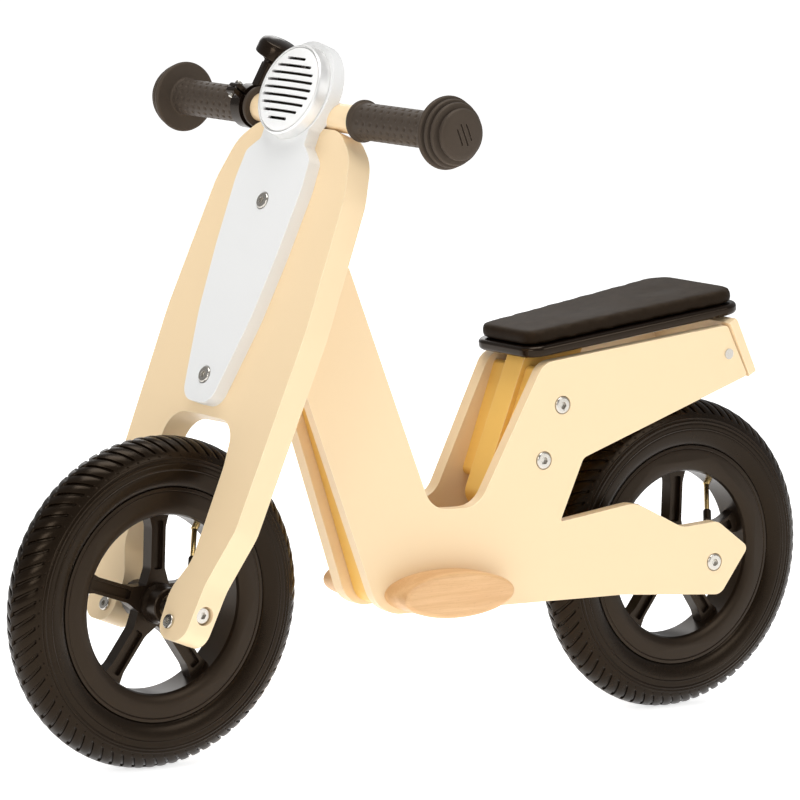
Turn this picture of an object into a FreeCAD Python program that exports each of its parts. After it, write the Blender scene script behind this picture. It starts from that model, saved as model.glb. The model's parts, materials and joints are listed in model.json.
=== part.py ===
"""Balance bike with a scooter-style frame, as separate pieces in one frame.

Row frame, millimetres: +X is forward, +Y is the rider's left, +Z is up.
The origin is on the ground, midway between the two wheels.
"""
import FreeCAD, Part
import math
import os

from FreeCAD import Placement, Rotation, Vector

# ---- driving dimensions ----------------------------------------------------
WHEELBASE = 595.0
TYRE_RADIUS = 149.0          # 12 1/2 inch wheel
TYRE_WIDTH = 47.5
RAKE = 20.8                  # lean of the fork plate and of the steering axis, degrees
RUN_GAP = 0.3                # gap between pieces that move past each other

PANEL_THICK = 12.0
PANEL_SPLAY = 5.43           # each side panel opens rearwards by this angle, degrees
PANEL_Y_AT_AXLE = 66.0       # outer face of a side panel at the rear axle

PLATE_THICK = 25.0           # fork front plate
SHIELD_THICK = 13.0
STEER_BACK = 36.5            # steering axis behind the middle of the fork plate
STEER_RADIUS, BUSH_RADIUS = 4.95, 7.0
HEAD_LOW, HEAD_HIGH = 245.0, 325.0      # head block, measured up the fork from the axle

BAR_RADIUS = 13.0
BAR_HEIGHT = 457.5           # up the fork from the axle
BAR_FORWARD = 4.5            # in front of the middle of the fork plate
GRIP_INNER_Y, GRIP_OUTER_Y = 77.0, 225.0
LAMP_HEIGHT = 470.5
LAMP_RADIUS = 43.5

SEAT_SLOPE = 8.3             # the seat rises to the rear by this angle, degrees
POST_LEAN = 20.0
POST_THICK = 26.0
POST_WIDTH = 62.0
SEAT_TRAVEL = 40.0

AXLE_RADIUS = 4.0
BEARING_BORE = 4.05
BEARING_RADIUS = 11.0
BEARING_WIDTH = 7.0
HUB_HALF = 27.0

REAR_X = -WHEELBASE / 2
FRONT_X = WHEELBASE / 2
AXLE_Z = TYRE_RADIUS
Y_AXIS = Vector(0, 1, 0)
Z_AXIS = Vector(0, 0, 1)
X_AXIS = Vector(1, 0, 0)

os.makedirs("parts", exist_ok=True)
PIECES = {}


# ---- small building tools --------------------------------------------------
def keep(name, *solids):
    """Write one piece, or a group of identical loose pieces, as one node."""
    shape = solids[0] if len(solids) == 1 else Part.makeCompound(list(solids))
    PIECES[name] = shape
    shape.exportStep("parts/" + name + ".step")


def fork_frame():
    """Fork coordinates: X out of the plate's face, Z up the plate, origin on the front axle."""
    return Placement(Vector(FRONT_X, 0, AXLE_Z), Rotation(Y_AXIS, -RAKE))


def on_fork(shape):
    placed = shape.copy()
    placed.Placement = fork_frame().multiply(placed.Placement)
    return placed


def mirrored(shape):
    """The same piece on the other side of the bike."""
    return shape.mirror(Vector(0, 0, 0), Y_AXIS)


def rounded_wire(corners, to_point):
    """Closed wire through (u, v, radius) corners, each rounded by a tangent arc."""
    edges = []
    ends = []
    count = len(corners)
    for index, (u, v, radius) in enumerate(corners):
        here = Vector(u, v, 0)
        before = Vector(*corners[index - 1][:2], 0) - here
        after = Vector(*corners[(index + 1) % count][:2], 0) - here
        before.normalize()
        after.normalize()
        if radius <= 0:
            ends.append((here, None, here))
            continue
        half = before.getAngle(after) / 2
        reach = radius / math.tan(half)
        middle = before + after
        middle.normalize()
        crown = here + middle * (radius / math.sin(half) - radius)
        ends.append((here + before * reach, crown, here + after * reach))
    for index, (start, crown, stop) in enumerate(ends):
        following = ends[(index + 1) % count][0]
        if crown is not None:
            points = [to_point(p.x, p.y) for p in (start, crown, stop)]
            edges.append(Part.Arc(*points).toShape())
        if (following - stop).Length > 1e-6:
            line = Part.LineSegment(to_point(stop.x, stop.y), to_point(following.x, following.y))
            edges.append(line.toShape())
    return Part.Wire(edges)


def side_slab(corners, y_low, y_high):
    """Board seen from the side: corners in (x, z), thick along Y."""
    wire = rounded_wire(corners, lambda x, z: Vector(x, y_low, z))
    return Part.Face(wire).extrude(Vector(0, y_high - y_low, 0))


def front_slab(corners, x_low, x_high):
    """Board seen from the front: corners in (y, z), thick along X."""
    wire = rounded_wire(corners, lambda y, z: Vector(x_low, y, z))
    return Part.Face(wire).extrude(Vector(x_high - x_low, 0, 0))


def plan_slab(corners, z_low, z_high):
    """Board seen from above: corners in (x, y), thick along Z."""
    wire = rounded_wire(corners, lambda x, y: Vector(x, y, z_low))
    return Part.Face(wire).extrude(Vector(0, 0, z_high - z_low))


def symmetric(half):
    """Full outline from its right half, given from the top centre down to the bottom centre."""
    return list(half) + [(-u, v, r) for u, v, r in reversed(half) if u > 0]


def y_rod(radius, y_low, y_high, x=0.0, z=0.0):
    return Part.makeCylinder(radius, y_high - y_low, Vector(x, y_low, z), Y_AXIS)


def x_rod(radius, x_low, x_high, y=0.0, z=0.0):
    return Part.makeCylinder(radius, x_high - x_low, Vector(x_low, y, z), X_AXIS)


def z_rod(radius, z_low, z_high, x=0.0, y=0.0):
    return Part.makeCylinder(radius, z_high - z_low, Vector(x, y, z_low), Z_AXIS)


def turned(profile, axis=Y_AXIS):
    """Solid of revolution from (radius, along) points about the given axis through the origin."""
    if axis == Y_AXIS:
        points = [Vector(r, along, 0) for r, along in profile]
    else:
        points = [Vector(along, r, 0) for r, along in profile]
    wire = Part.makePolygon(points + [points[0]])
    return Part.Face(wire).revolve(Vector(0, 0, 0), axis, 360)


def z_turned(profile):
    points = [Vector(r, 0, along) for r, along in profile]
    return Part.Face(Part.makePolygon(points + [points[0]])).revolve(Vector(0, 0, 0), Z_AXIS, 360)


def hex_prism(across, length, base, direction):
    """Hexagonal bar with the given width across its flats."""
    corner = across / math.sqrt(3)
    points = []
    for turn in range(7):
        angle = math.radians(60 * turn)
        points.append(Vector(corner * math.cos(angle), corner * math.sin(angle), 0))
    prism = Part.Face(Part.makePolygon(points)).extrude(Vector(0, 0, length))
    prism.Placement = Placement(base, Rotation(Z_AXIS, direction))
    return prism


def socket_bolt(head_radius, head_height, shank_radius, length, base, direction):
    """Button-headed bolt: base is under the head and direction points out of the head."""
    head = Part.makeCylinder(head_radius, head_height)
    rim = [edge for edge in head.Edges if edge.BoundBox.ZMin > head_height - 1e-6]
    head = head.makeFillet(head_height * 0.45, rim)
    shank = Part.makeCylinder(shank_radius, length, Vector(0, 0, -length))
    bolt = head.fuse(shank)
    bolt = bolt.cut(hex_prism(head_radius * 0.72, head_height * 0.6 + 1,
                              Vector(0, 0, head_height * 0.4), Z_AXIS))
    bolt = bolt.removeSplitter()
    bolt.Placement = Placement(base, Rotation(Z_AXIS, direction))
    return bolt


def ring(outer, inner, y_low, y_high, x=0.0, z=0.0):
    return y_rod(outer, y_low, y_high, x, z).cut(y_rod(inner, y_low - 1, y_high + 1, x, z))


# ---- side panels -----------------------------------------------------------
# Panel coordinates: x forward from the rear axle, z up from the ground.
SEAT_BOLT_GAP = 54.0
SEAT_BOLT_DROP = math.radians(POST_LEAN)
SEAT_BOLTS = [(177.0, 307.0), (177.0 + SEAT_BOLT_GAP * math.sin(SEAT_BOLT_DROP),
                               307.0 - SEAT_BOLT_GAP * math.cos(SEAT_BOLT_DROP))]
PEG_CENTRE = (300.5, 141.0)
PEG_LONG, PEG_HIGH, PEG_END_Y = 125.0, 41.5, 66.0
TAIL_TOP, TAIL_LOW = (-4.5, 374.5), (-29.5, 326.0)

PANEL_OUTLINE = [
    (458.7, 348.0, 12), (417.0, 458.0, 8), (315.3, 216.5, 26), (265.4, 216.5, 26),
    (199.5, 347.0, 20), (TAIL_TOP[0], TAIL_TOP[1], 5), (TAIL_LOW[0], TAIL_LOW[1], 4),
    (152.0, 256.5, 9), (175.5, 197.5, 2), (92.0, 211.0, 30), (38.0, 184.5, 22),
    (-2.0, 188.0, 12), (-38.0, 161.5, 6), (-8.5, 117.5, 12), (104.0, 124.5, 60),
    (367.5, 122.5, 34),
]


def panel_outer_y(x_from_axle):
    return PANEL_Y_AT_AXLE - math.tan(math.radians(PANEL_SPLAY)) * x_from_axle


def panel_place():
    """Panel frame: its outer face is the plane y = 0 and its length runs along x."""
    return Placement(Vector(REAR_X, PANEL_Y_AT_AXLE, 0), Rotation(Z_AXIS, -PANEL_SPLAY))


def left_panel():
    stretch = 1 / math.cos(math.radians(PANEL_SPLAY))
    corners = [(x * stretch, z, r) for x, z, r in PANEL_OUTLINE]
    board = side_slab(corners, -PANEL_THICK, 0)
    board.Placement = panel_place()
    for x, z in SEAT_BOLTS:
        outer = panel_outer_y(x)
        board = board.cut(y_rod(4.1, 0, 80, REAR_X + x, z))
        board = board.cut(y_rod(8.6, outer - 3.2, 80, REAR_X + x, z))
    board = board.cut(y_rod(AXLE_RADIUS, 0, 80, REAR_X, AXLE_Z))
    board = board.cut(y_rod(8.6, PANEL_Y_AT_AXLE - 3.2, 80, REAR_X, AXLE_Z))
    board = board.cut(tail_nut(1))
    board = board.cut(tail_bolt(1))
    for x in peg_screw_xs():
        board = board.cut(y_rod(3.0, 0, 80, x, PEG_SCREW_Z))
    return board


def between_panels():
    """Wedge of space between the inner faces of the two side panels."""
    slope = math.tan(math.radians(PANEL_SPLAY))
    inner = PANEL_Y_AT_AXLE - PANEL_THICK / math.cos(math.radians(PANEL_SPLAY))
    rear, front = -120.0, 520.0
    corners = [(REAR_X + rear, inner - slope * rear), (REAR_X + front, inner - slope * front)]
    points = [Vector(x, y, 0) for x, y in corners]
    points += [Vector(x, -y, 0) for x, y in reversed(corners)]
    return Part.Face(Part.makePolygon(points + [points[0]])).extrude(Vector(0, 0, 600))


def shifted(corners):
    """Corners given from the rear axle, moved to the row frame."""
    return [(REAR_X + x, z, r) for x, z, r in corners]


BOARD_THICK = 12.0
BOARD_LOW = 126.0            # underside of the bottom board
BOARD_JOIN = 322.0           # the leg shield's foot meets the bottom board here


def behind_front_edge(z, inset):
    """A point set back from the sloping front edges of the panels."""
    (high_x, high_z, _), (low_x, low_z, _) = PANEL_OUTLINE[0], PANEL_OUTLINE[-1]
    slope = (high_x - low_x) / (high_z - low_z)
    return low_x + slope * (z - low_z) - inset * math.hypot(1, slope)


def leg_shield():
    """Board set back between the panels' front edges, with a bent foot at the bottom."""
    top, floor = 331.0, BOARD_LOW + BOARD_THICK
    front, back = BOARD_THICK, 2 * BOARD_THICK
    corners = [(BOARD_JOIN, BOARD_LOW, 0), (behind_front_edge(BOARD_LOW, front), BOARD_LOW, 22),
               (behind_front_edge(top, front), top, 2), (behind_front_edge(top, back), top, 2),
               (behind_front_edge(floor, back), floor, 10), (BOARD_JOIN, floor, 0)]
    return side_slab(shifted(corners), -60, 60).common(between_panels())


def bottom_board():
    corners = [(205.0, BOARD_LOW, 2), (BOARD_JOIN, BOARD_LOW, 0),
               (BOARD_JOIN, BOARD_LOW + BOARD_THICK, 0), (205.0, BOARD_LOW + BOARD_THICK, 2)]
    return side_slab(shifted(corners), -60, 60).common(between_panels())


# ---- tail ------------------------------------------------------------------
TAIL_THICK = 9.0
TAIL_SEAM = 1.2              # the splayed panels' inner corners just reach the plate
TAIL_BOLT_UP = 29.0
DOWEL_PROUD = 0.5


def tail_direction():
    """Unit vectors up the panels' rear edge and out behind it."""
    up = Vector(TAIL_TOP[0] - TAIL_LOW[0], 0, TAIL_TOP[1] - TAIL_LOW[1])
    up.normalize()
    return up, Vector(-up.z, 0, up.x)


def tail_point(along):
    low = Vector(REAR_X + TAIL_LOW[0], 0, TAIL_LOW[1])
    up, out = tail_direction()
    return low + up * along + out * TAIL_SEAM


def tail_nut(side):
    """Cross dowel that the tail bolt screws into."""
    up, out = tail_direction()
    centre = tail_point(TAIL_BOLT_UP) - out * 11.0
    outer = panel_outer_y(centre.x - REAR_X) + DOWEL_PROUD
    dowel = y_rod(5.0, outer - 11.5, outer, centre.x, centre.z)
    return dowel if side > 0 else mirrored(dowel)


def tail_bolt(side):
    up, out = tail_direction()
    seat = tail_point(TAIL_BOLT_UP) + out * (TAIL_THICK - 3.5)
    outer = panel_outer_y(seat.x - REAR_X)
    seat.y = side * (outer - PANEL_THICK / 2)
    return socket_bolt(6.5, 3.5, 3.0, 22.0, seat, out)


def tail_plate():
    up, out = tail_direction()
    half = panel_outer_y(TAIL_LOW[0]) + 1.5
    height = (Vector(*TAIL_TOP, 0) - Vector(*TAIL_LOW, 0)).Length + 4
    corners = [(-half, -2, 3), (half, -2, 3), (half, height - 2, 3), (-half, height - 2, 3)]
    wire = rounded_wire(corners, lambda y, along: tail_point(along) + Vector(0, y, 0))
    return Part.Face(wire).extrude(out * TAIL_THICK)


# ---- footrests -------------------------------------------------------------
def peg_screw_xs():
    middle = REAR_X + PEG_CENTRE[0]
    return [middle - 26.0, middle + 26.0]


PEG_SCREW_Z = PEG_CENTRE[1] + 6.0


def peg_screw(x, side):
    """Pan-headed wood screw driven from inside the panel into the footrest."""
    inner = panel_outer_y(x - REAR_X) - PANEL_THICK - 0.7
    profile = [(0, -3), (4.5, -3), (5.5, -1.5), (5.5, 0), (3.0, 0), (3.0, 30), (1.0, 34), (0, 34)]
    screw = turned(profile)
    place = Placement(Vector(x, inner, PEG_SCREW_Z), Rotation())
    screw.Placement = place
    return screw if side > 0 else mirrored(screw)


def footrest():
    """Oval beech block that stands out of the panel's side."""
    ellipse = Part.Ellipse(Vector(0, 0, 0), PEG_LONG / 2, PEG_HIGH / 2).toShape()
    block = Part.Face(Part.Wire([ellipse])).extrude(Vector(0, 0, -PEG_END_Y))
    block.Placement = Placement(Vector(REAR_X + PEG_CENTRE[0], 0, PEG_CENTRE[1]),
                                Rotation(X_AXIS, 90))
    rim = [edge for edge in block.Edges if edge.BoundBox.YMin > PEG_END_Y - 1e-3]
    block = block.makeFillet(4.0, rim)
    rear, front = 180.0, 420.0
    points = [Vector(REAR_X + x, y, 100) for x, y in
              ((rear, -5), (front, -5), (front, panel_outer_y(front)), (rear, panel_outer_y(rear)))]
    inside = Part.Face(Part.makePolygon(points + [points[0]])).extrude(Vector(0, 0, 90))
    block = block.cut(inside)
    for x in peg_screw_xs():
        block = block.cut(peg_screw(x, 1))
    return block


# ---- head of the frame -----------------------------------------------------
def steer_rod(radius, low, high):
    return z_rod(radius, low, high, -STEER_BACK)


def head_block():
    """Block clamped between the panels, with the steering bore in its round nose."""
    nose = on_fork(steer_rod(18.5, HEAD_LOW, HEAD_HIGH))
    top = HEAD_HIGH - 8
    wide = on_fork(plan_slab([(-STEER_BACK, -30, 0), (-STEER_BACK, 30, 0), (-92.0, 30, 0),
                              (-92.0, -30, 0)], HEAD_LOW, top))
    neck = on_fork(plan_slab([(-STEER_BACK, -9, 0), (-STEER_BACK, 9, 0), (-92.0, 9, 0),
                              (-92.0, -9, 0)], HEAD_LOW, top))
    outline = side_slab(shifted([(x, z, 0) for x, z, _ in PANEL_OUTLINE[:3]] + [(330.0, 250.0, 0)]),
                        -40, 40)
    block = nose.fuse(neck.common(between_panels()))
    block = block.fuse(wide.common(between_panels()).common(outline))
    bore = on_fork(steer_rod(BUSH_RADIUS, HEAD_LOW - 5, HEAD_HIGH + 5))
    return block.cut(bore).removeSplitter()


def steering_bush(low, high, flange_low, flange_high):
    bush = steer_rod(BUSH_RADIUS, low, high).fuse(steer_rod(12.0, flange_low, flange_high))
    bush = bush.cut(steer_rod(STEER_RADIUS + 0.05, low - 5, high + 5))
    return on_fork(bush.removeSplitter())


# ---- fork ------------------------------------------------------------------
SHIELD_BOLTS = [368.5, 205.0]
LEG_BOLT_Y, LEG_BOLT_Z = 50.6, -13.5

PLATE_HALF = [
    (0.0, 444.0, 0), (60.0, 444.0, 30), (86.0, 424.0, 40), (98.5, 385.0, 60), (107.0, 262.0, 200),
    (101.0, 78.0, 40), (83.5, 26.0, 50), (78.5, -29.0, 17), (37.0, -29.0, 17),
    (36.0, 14.0, 30), (53.5, 44.0, 30), (54.0, 130.0, 60), (48.0, 170.5, 24), (0.0, 171.5, 0),
]
SHIELD_HALF = [(48.5, 412.0, 9), (51.0, 385.0, 60), (47.0, 322.0, 60), (40.0, 262.0, 150),
               (27.0, 205.0, 40), (21.0, 180.0, 17), (0.0, 180.0, 0)]
SHIELD_NECK, SHIELD_SHOULDER, NECK_ROUND = 33.0, 422.5, 6.0
SHIELD_HEAD_RADIUS = 46.5
SHIELD_BOLT_SINK = 2.5


def fork_plate():
    """Thick leaning board whose two legs straddle the front wheel."""
    board = front_slab(symmetric(PLATE_HALF), -PLATE_THICK / 2, PLATE_THICK / 2)
    for height in SHIELD_BOLTS:
        board = board.cut(x_rod(3.1, -30, 30, 0, height))
    board = board.cut(y_rod(BAR_RADIUS, -200, 200, BAR_FORWARD, BAR_HEIGHT))
    board = board.cut(y_rod(AXLE_RADIUS, -90, 90))
    for side in (1, -1):
        board = board.cut(x_rod(3.0, -8, 30, side * LEG_BOLT_Y, LEG_BOLT_Z))
        board = board.cut(y_rod(8.6, 73.5, 90) if side > 0 else y_rod(8.6, -90, -73.5))
    for y in BAR_SCREW_YS:
        board = board.cut(bar_screw(y))
    return board


def shield_plate():
    """White plate on the fork's face: a round head, a neck, then a long taper."""
    back, face = PLATE_THICK / 2, PLATE_THICK / 2 + SHIELD_THICK
    low = front_slab(symmetric([(0.0, SHIELD_SHOULDER, 0), (SHIELD_NECK + 3, SHIELD_SHOULDER, 5)]
                               + SHIELD_HALF), back, face)
    round_head = x_rod(SHIELD_HEAD_RADIUS, back, face, 0, LAMP_HEIGHT + 2)
    neck = front_slab([(-SHIELD_NECK, 410, 0), (SHIELD_NECK, 410, 0),
                       (SHIELD_NECK, 442, 0), (-SHIELD_NECK, 442, 0)], back, face)
    plate = low.fuse(neck).fuse(round_head).removeSplitter()
    inner_corners = [edge for edge in plate.Edges
                     if edge.BoundBox.YLength + edge.BoundBox.ZLength < 1e-3
                     and abs(abs(edge.BoundBox.YMin) - SHIELD_NECK) < 1e-3]
    plate = plate.makeFillet(NECK_ROUND, inner_corners)
    plate = plate.cut(y_rod(BAR_RADIUS, -200, 200, BAR_FORWARD, BAR_HEIGHT))
    for height in SHIELD_BOLTS:
        plate = plate.cut(x_rod(3.1, 0, 60, 0, height))
        plate = plate.cut(x_rod(8.2, face - SHIELD_BOLT_SINK, 60, 0, height))
    for screw in lamp_screws():
        plate = plate.cut(screw)
    return plate


def shield_bolt(height):
    face = PLATE_THICK / 2 + SHIELD_THICK - SHIELD_BOLT_SINK
    return socket_bolt(7.6, 4.0, 3.0, face + PLATE_THICK / 2 + 12, Vector(face, 0, height), X_AXIS)


def shield_nut(height):
    back = -PLATE_THICK / 2 - BRACKET_THICK
    nut = hex_prism(10.0, 5.0, Vector(back, 0, height), Vector(-1, 0, 0))
    return nut.cut(x_rod(3.0, back - 8, back + 2, 0, height))


# ---- steering --------------------------------------------------------------
BRACKET_THICK = 4.0
BRACKET_HALF = 12.5


def bracket(shelf_low, far_end):
    """Steel angle: a tall leg on the plate's back and a shelf that holds the steering bolt."""
    shelf_high = shelf_low + BRACKET_THICK
    back = -PLATE_THICK / 2
    low, high = min(shelf_low, far_end), max(shelf_high, far_end)
    leg = front_slab([(-BRACKET_HALF, low, 2), (BRACKET_HALF, low, 2),
                      (BRACKET_HALF, high, 2), (-BRACKET_HALF, high, 2)],
                     back - BRACKET_THICK, back)
    shelf = plan_slab([(back, -BRACKET_HALF, 0), (back, BRACKET_HALF, 0),
                       (-STEER_BACK - BRACKET_HALF, BRACKET_HALF, BRACKET_HALF * 0.98),
                       (-STEER_BACK - BRACKET_HALF, -BRACKET_HALF, BRACKET_HALF * 0.98)],
                      shelf_low, shelf_high)
    angle = leg.fuse(shelf).cut(steer_rod(STEER_RADIUS, shelf_low - 5, shelf_high + 5))
    for height in SHIELD_BOLTS:
        angle = angle.cut(x_rod(3.1, -40, 0, 0, height))
    return on_fork(angle.removeSplitter())


UPPER_SHELF = HEAD_HIGH + 1.6 + 0.4
LOWER_SHELF = HEAD_LOW - 1.6 - 0.4 - BRACKET_THICK


def steering_bolt():
    top = UPPER_SHELF + BRACKET_THICK
    shank = steer_rod(STEER_RADIUS, LOWER_SHELF - 11, top)
    head = hex_prism(16.0, 6.0, Vector(-STEER_BACK, 0, top), Z_AXIS)
    return on_fork(shank.fuse(head).removeSplitter())


def steering_nut():
    nut = hex_prism(16.0, 8.0, Vector(-STEER_BACK, 0, LOWER_SHELF - 8), Z_AXIS)
    return on_fork(nut.cut(steer_rod(STEER_RADIUS, LOWER_SHELF - 20, LOWER_SHELF + 5)))


# ---- lamp ------------------------------------------------------------------
LAMP_BACK = PLATE_THICK / 2 + SHIELD_THICK
SLOT_COUNT, SLOT_PITCH, SLOT_WIDTH = 9, 7.0, 2.9
SLOT_REACH_Y, SLOT_REACH_Z = 35.0, 30.5


def lamp_turned(profile):
    """Turned piece about the lamp's own axis; along is measured forward from the white plate."""
    piece = turned(profile, X_AXIS)
    piece.translate(Vector(LAMP_BACK, 0, LAMP_HEIGHT))
    return piece


def lamp_ring():
    profile = [(37.0, 0), (LAMP_RADIUS, 0), (LAMP_RADIUS, 2.0), (LAMP_RADIUS - 1.5, 10.5),
               (LAMP_RADIUS - 2.6, 12.0), (39.6, 12.0), (39.6, 8.0), (37.0, 8.0)]
    return on_fork(lamp_turned(profile))


def lamp_grille():
    """Domed face with a row of level slots whose ends follow an oval."""
    dome = [(0, 8.2), (39.4, 8.2), (39.4, 12.6), (34.0, 13.8), (22.0, 14.8), (0, 15.2)]
    hollow = [(0, 5.0), (35.5, 5.0), (35.5, 10.6), (22.0, 12.0), (0, 12.4)]
    face = lamp_turned(dome).cut(lamp_turned(hollow))
    for index in range(SLOT_COUNT):
        rise = (index - (SLOT_COUNT - 1) / 2) * SLOT_PITCH
        reach = SLOT_REACH_Y * math.sqrt(1 - (rise / SLOT_REACH_Z) ** 2) - SLOT_WIDTH / 2
        z = LAMP_HEIGHT + rise
        low, high = LAMP_BACK + 6, LAMP_BACK + 18
        half = SLOT_WIDTH / 2
        slot = front_slab([(-reach, z - half, 0), (reach, z - half, 0),
                           (reach, z + half, 0), (-reach, z + half, 0)], low, high)
        for y in (-reach, reach):
            slot = slot.fuse(x_rod(half, low, high, y, z))
        face = face.cut(slot)
    return on_fork(face)


def lamp_backing():
    plate = lamp_turned([(0, 0), (36.5, 0), (36.5, 2.0), (0, 2.0)])
    for screw in lamp_screws():
        plate = plate.cut(screw)
    return on_fork(plate)


def lamp_screws():
    screws = []
    for z in (LAMP_HEIGHT - 24, LAMP_HEIGHT + 24):
        screws.append(socket_bolt(3.5, 2.0, 1.5, 11.0, Vector(LAMP_BACK + 2.0, 0, z), X_AXIS))
    return screws


# ---- handlebar -------------------------------------------------------------
BAR_SCREW_YS = (-34.0, 34.0)


def bar_screw(y):
    """Screw up through the fork plate into the dowel."""
    top = BAR_HEIGHT + 4
    return z_rod(2.5, BAR_HEIGHT - 60, top, BAR_FORWARD, y).fuse(
        z_rod(5.0, BAR_HEIGHT - 64, BAR_HEIGHT - 60, BAR_FORWARD, y)).removeSplitter()


def handlebar():
    bar = y_rod(BAR_RADIUS, 6 - GRIP_OUTER_Y, GRIP_OUTER_Y - 6, BAR_FORWARD, BAR_HEIGHT)
    for y in BAR_SCREW_YS:
        bar = bar.cut(bar_screw(y))
    return on_fork(bar)


def grip():
    """Rubber grip: inner flange, sleeve, three stepped guard discs and a domed end."""
    inner, guard, outer = GRIP_INNER_Y, GRIP_INNER_Y + 121.0, GRIP_OUTER_Y
    profile = [(BAR_RADIUS, inner), (19.0, inner), (19.0, inner + 4), (16.5, inner + 6),
               (16.5, guard - 1.5), (18.0, guard), (32.0, guard), (32.5, guard + 3.0),
               (31.5, guard + 5.5), (27.5, guard + 5.8), (27.5, guard + 7.1), (30.0, guard + 7.5),
               (30.0, guard + 11.0), (25.5, guard + 11.7), (25.5, guard + 12.9),
               (27.5, guard + 13.5), (27.0, guard + 17.0), (20.0, guard + 18.0),
               (22.8, guard + 20.5), (22.6, guard + 22.5), (20.0, outer - 1.8),
               (13.0, outer - 0.5), (0, outer), (0, outer - 6), (BAR_RADIUS, outer - 6)]
    piece = turned(profile)
    piece.translate(Vector(BAR_FORWARD, 0, BAR_HEIGHT))
    return on_fork(piece)


# ---- bell ------------------------------------------------------------------
BELL_Y = -91.0
BELL_TILT = 20.5             # the bell leans inwards over the clamp
BELL_BACK = 14.5             # and backwards, from upright
EAR_RISE = 38.0              # the clamp's ears point forward and up
CLAMP_RADIUS = 20.5


def on_bell(shape):
    """Bell coordinates: Z out of the clamp towards the bell, origin on the bar's axis."""
    placed = shape.copy()
    local = Placement(Vector(BAR_FORWARD, BELL_Y, BAR_HEIGHT), Rotation(X_AXIS, -BELL_TILT))
    lean = Placement(Vector(0, 0, 0), Rotation(Y_AXIS, RAKE - BELL_BACK))
    placed.Placement = local.multiply(lean).multiply(placed.Placement)
    return on_fork(placed)


def clamp_place(shape):
    placed = shape.copy()
    placed.Placement = Placement(Vector(BAR_FORWARD, BELL_Y, BAR_HEIGHT),
                                 Rotation(Y_AXIS, RAKE - EAR_RISE)).multiply(placed.Placement)
    return on_fork(placed)


def bell_clamp():
    band = ring(CLAMP_RADIUS, 16.5, -7, 7)
    ear = side_slab([(15, -5.5, 1), (30, -5.5, 3), (30, 5.5, 3), (15, 5.5, 1)], -6, 6)
    band = band.fuse(ear.cut(y_rod(17, -8, 8)))
    band = band.cut(side_slab([(14, -0.8, 0), (32, -0.8, 0), (32, 0.8, 0), (14, 0.8, 0)], -8, 8))
    band = band.cut(z_rod(2.0, -10, 10, 25.5))
    return clamp_place(band.removeSplitter())


def bell_clamp_screw():
    screw = socket_bolt(3.6, 2.6, 2.0, 14.0, Vector(25.5, 0, 5.5), Z_AXIS)
    return clamp_place(screw)


ARM_HIGH = 41.0
BELL_RADIUS = 19.5
LEVER_PIN = (-12.5, ARM_HIGH - 5.0)


def bell_arm():
    """Tapered foot between the clamp and the bell, with the bell's flared base."""
    foot = plan_slab([(-8, -7, 3), (8, -7, 3), (8, 7, 3), (-8, 7, 3)], 14.0, ARM_HIGH)
    flare = [(0, ARM_HIGH - 4), (8.4, ARM_HIGH - 4), (8.4, ARM_HIGH + 3), (16.0, ARM_HIGH + 10),
             (16.0, ARM_HIGH + 12), (0, ARM_HIGH + 12)]
    for low in (-7.0, 4.4):
        cheek = side_slab([(-6.0, ARM_HIGH - 10, 0), (-16.0, ARM_HIGH - 9, 3),
                           (-16.0, ARM_HIGH - 1, 3), (-6.0, ARM_HIGH - 1, 0)], low, low + 2.6)
        foot = foot.fuse(cheek.cut(y_rod(1.5, -9, 9, *LEVER_PIN)))
    foot = on_bell(foot.fuse(z_turned(flare)))
    return foot.cut(clamp_place(y_rod(CLAMP_RADIUS, -40, 40))).removeSplitter()


def bell_cap():
    low = ARM_HIGH + 8.0
    inside = BELL_RADIUS - 2.8
    outside = [(inside, low), (BELL_RADIUS, low), (BELL_RADIUS, low + 10), (18.0, low + 13.8),
               (13.0, low + 16.3), (0, low + 17.3), (0, low + 4.2), (inside, low + 4.2)]
    return on_bell(z_turned(outside))


def bell_lever():
    """Thumb lever that swings behind the foot."""
    blade = side_slab([(-9.3, ARM_HIGH - 8.2, 3), (-34.0, ARM_HIGH - 15, 2),
                       (-35.0, ARM_HIGH - 10, 2), (-15.0, ARM_HIGH - 1.8, 3),
                       (-9.3, ARM_HIGH - 1.8, 3)], -4.0, 4.0)
    blade = blade.cut(y_rod(1.55, -9, 9, *LEVER_PIN))
    return on_bell(blade)


def bell_pin():
    return on_bell(y_rod(1.5, -7.4, 7.4, *LEVER_PIN))


# ---- wheels ----------------------------------------------------------------
SPOKES = 5
RIM_FLOOR, RIM_INNER, RIM_FLANGE = 85.5, 80.0, 105.0
HUB_RADIUS = 18.5
TUBE_CENTRE, TUBE_RADIUS, TUBE_WALL = 124.0, 19.3, 1.6
VALVE_ANGLE = 124.0          # from straight ahead, over the top
VALVE_BEND = 76.0            # distance from the axle where the stem turns outwards
VALVE_LEAN = Vector(-0.8, 0.6, 0)
VALVE_ARM, CAP_LONG = 46.0, 12.0


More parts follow.
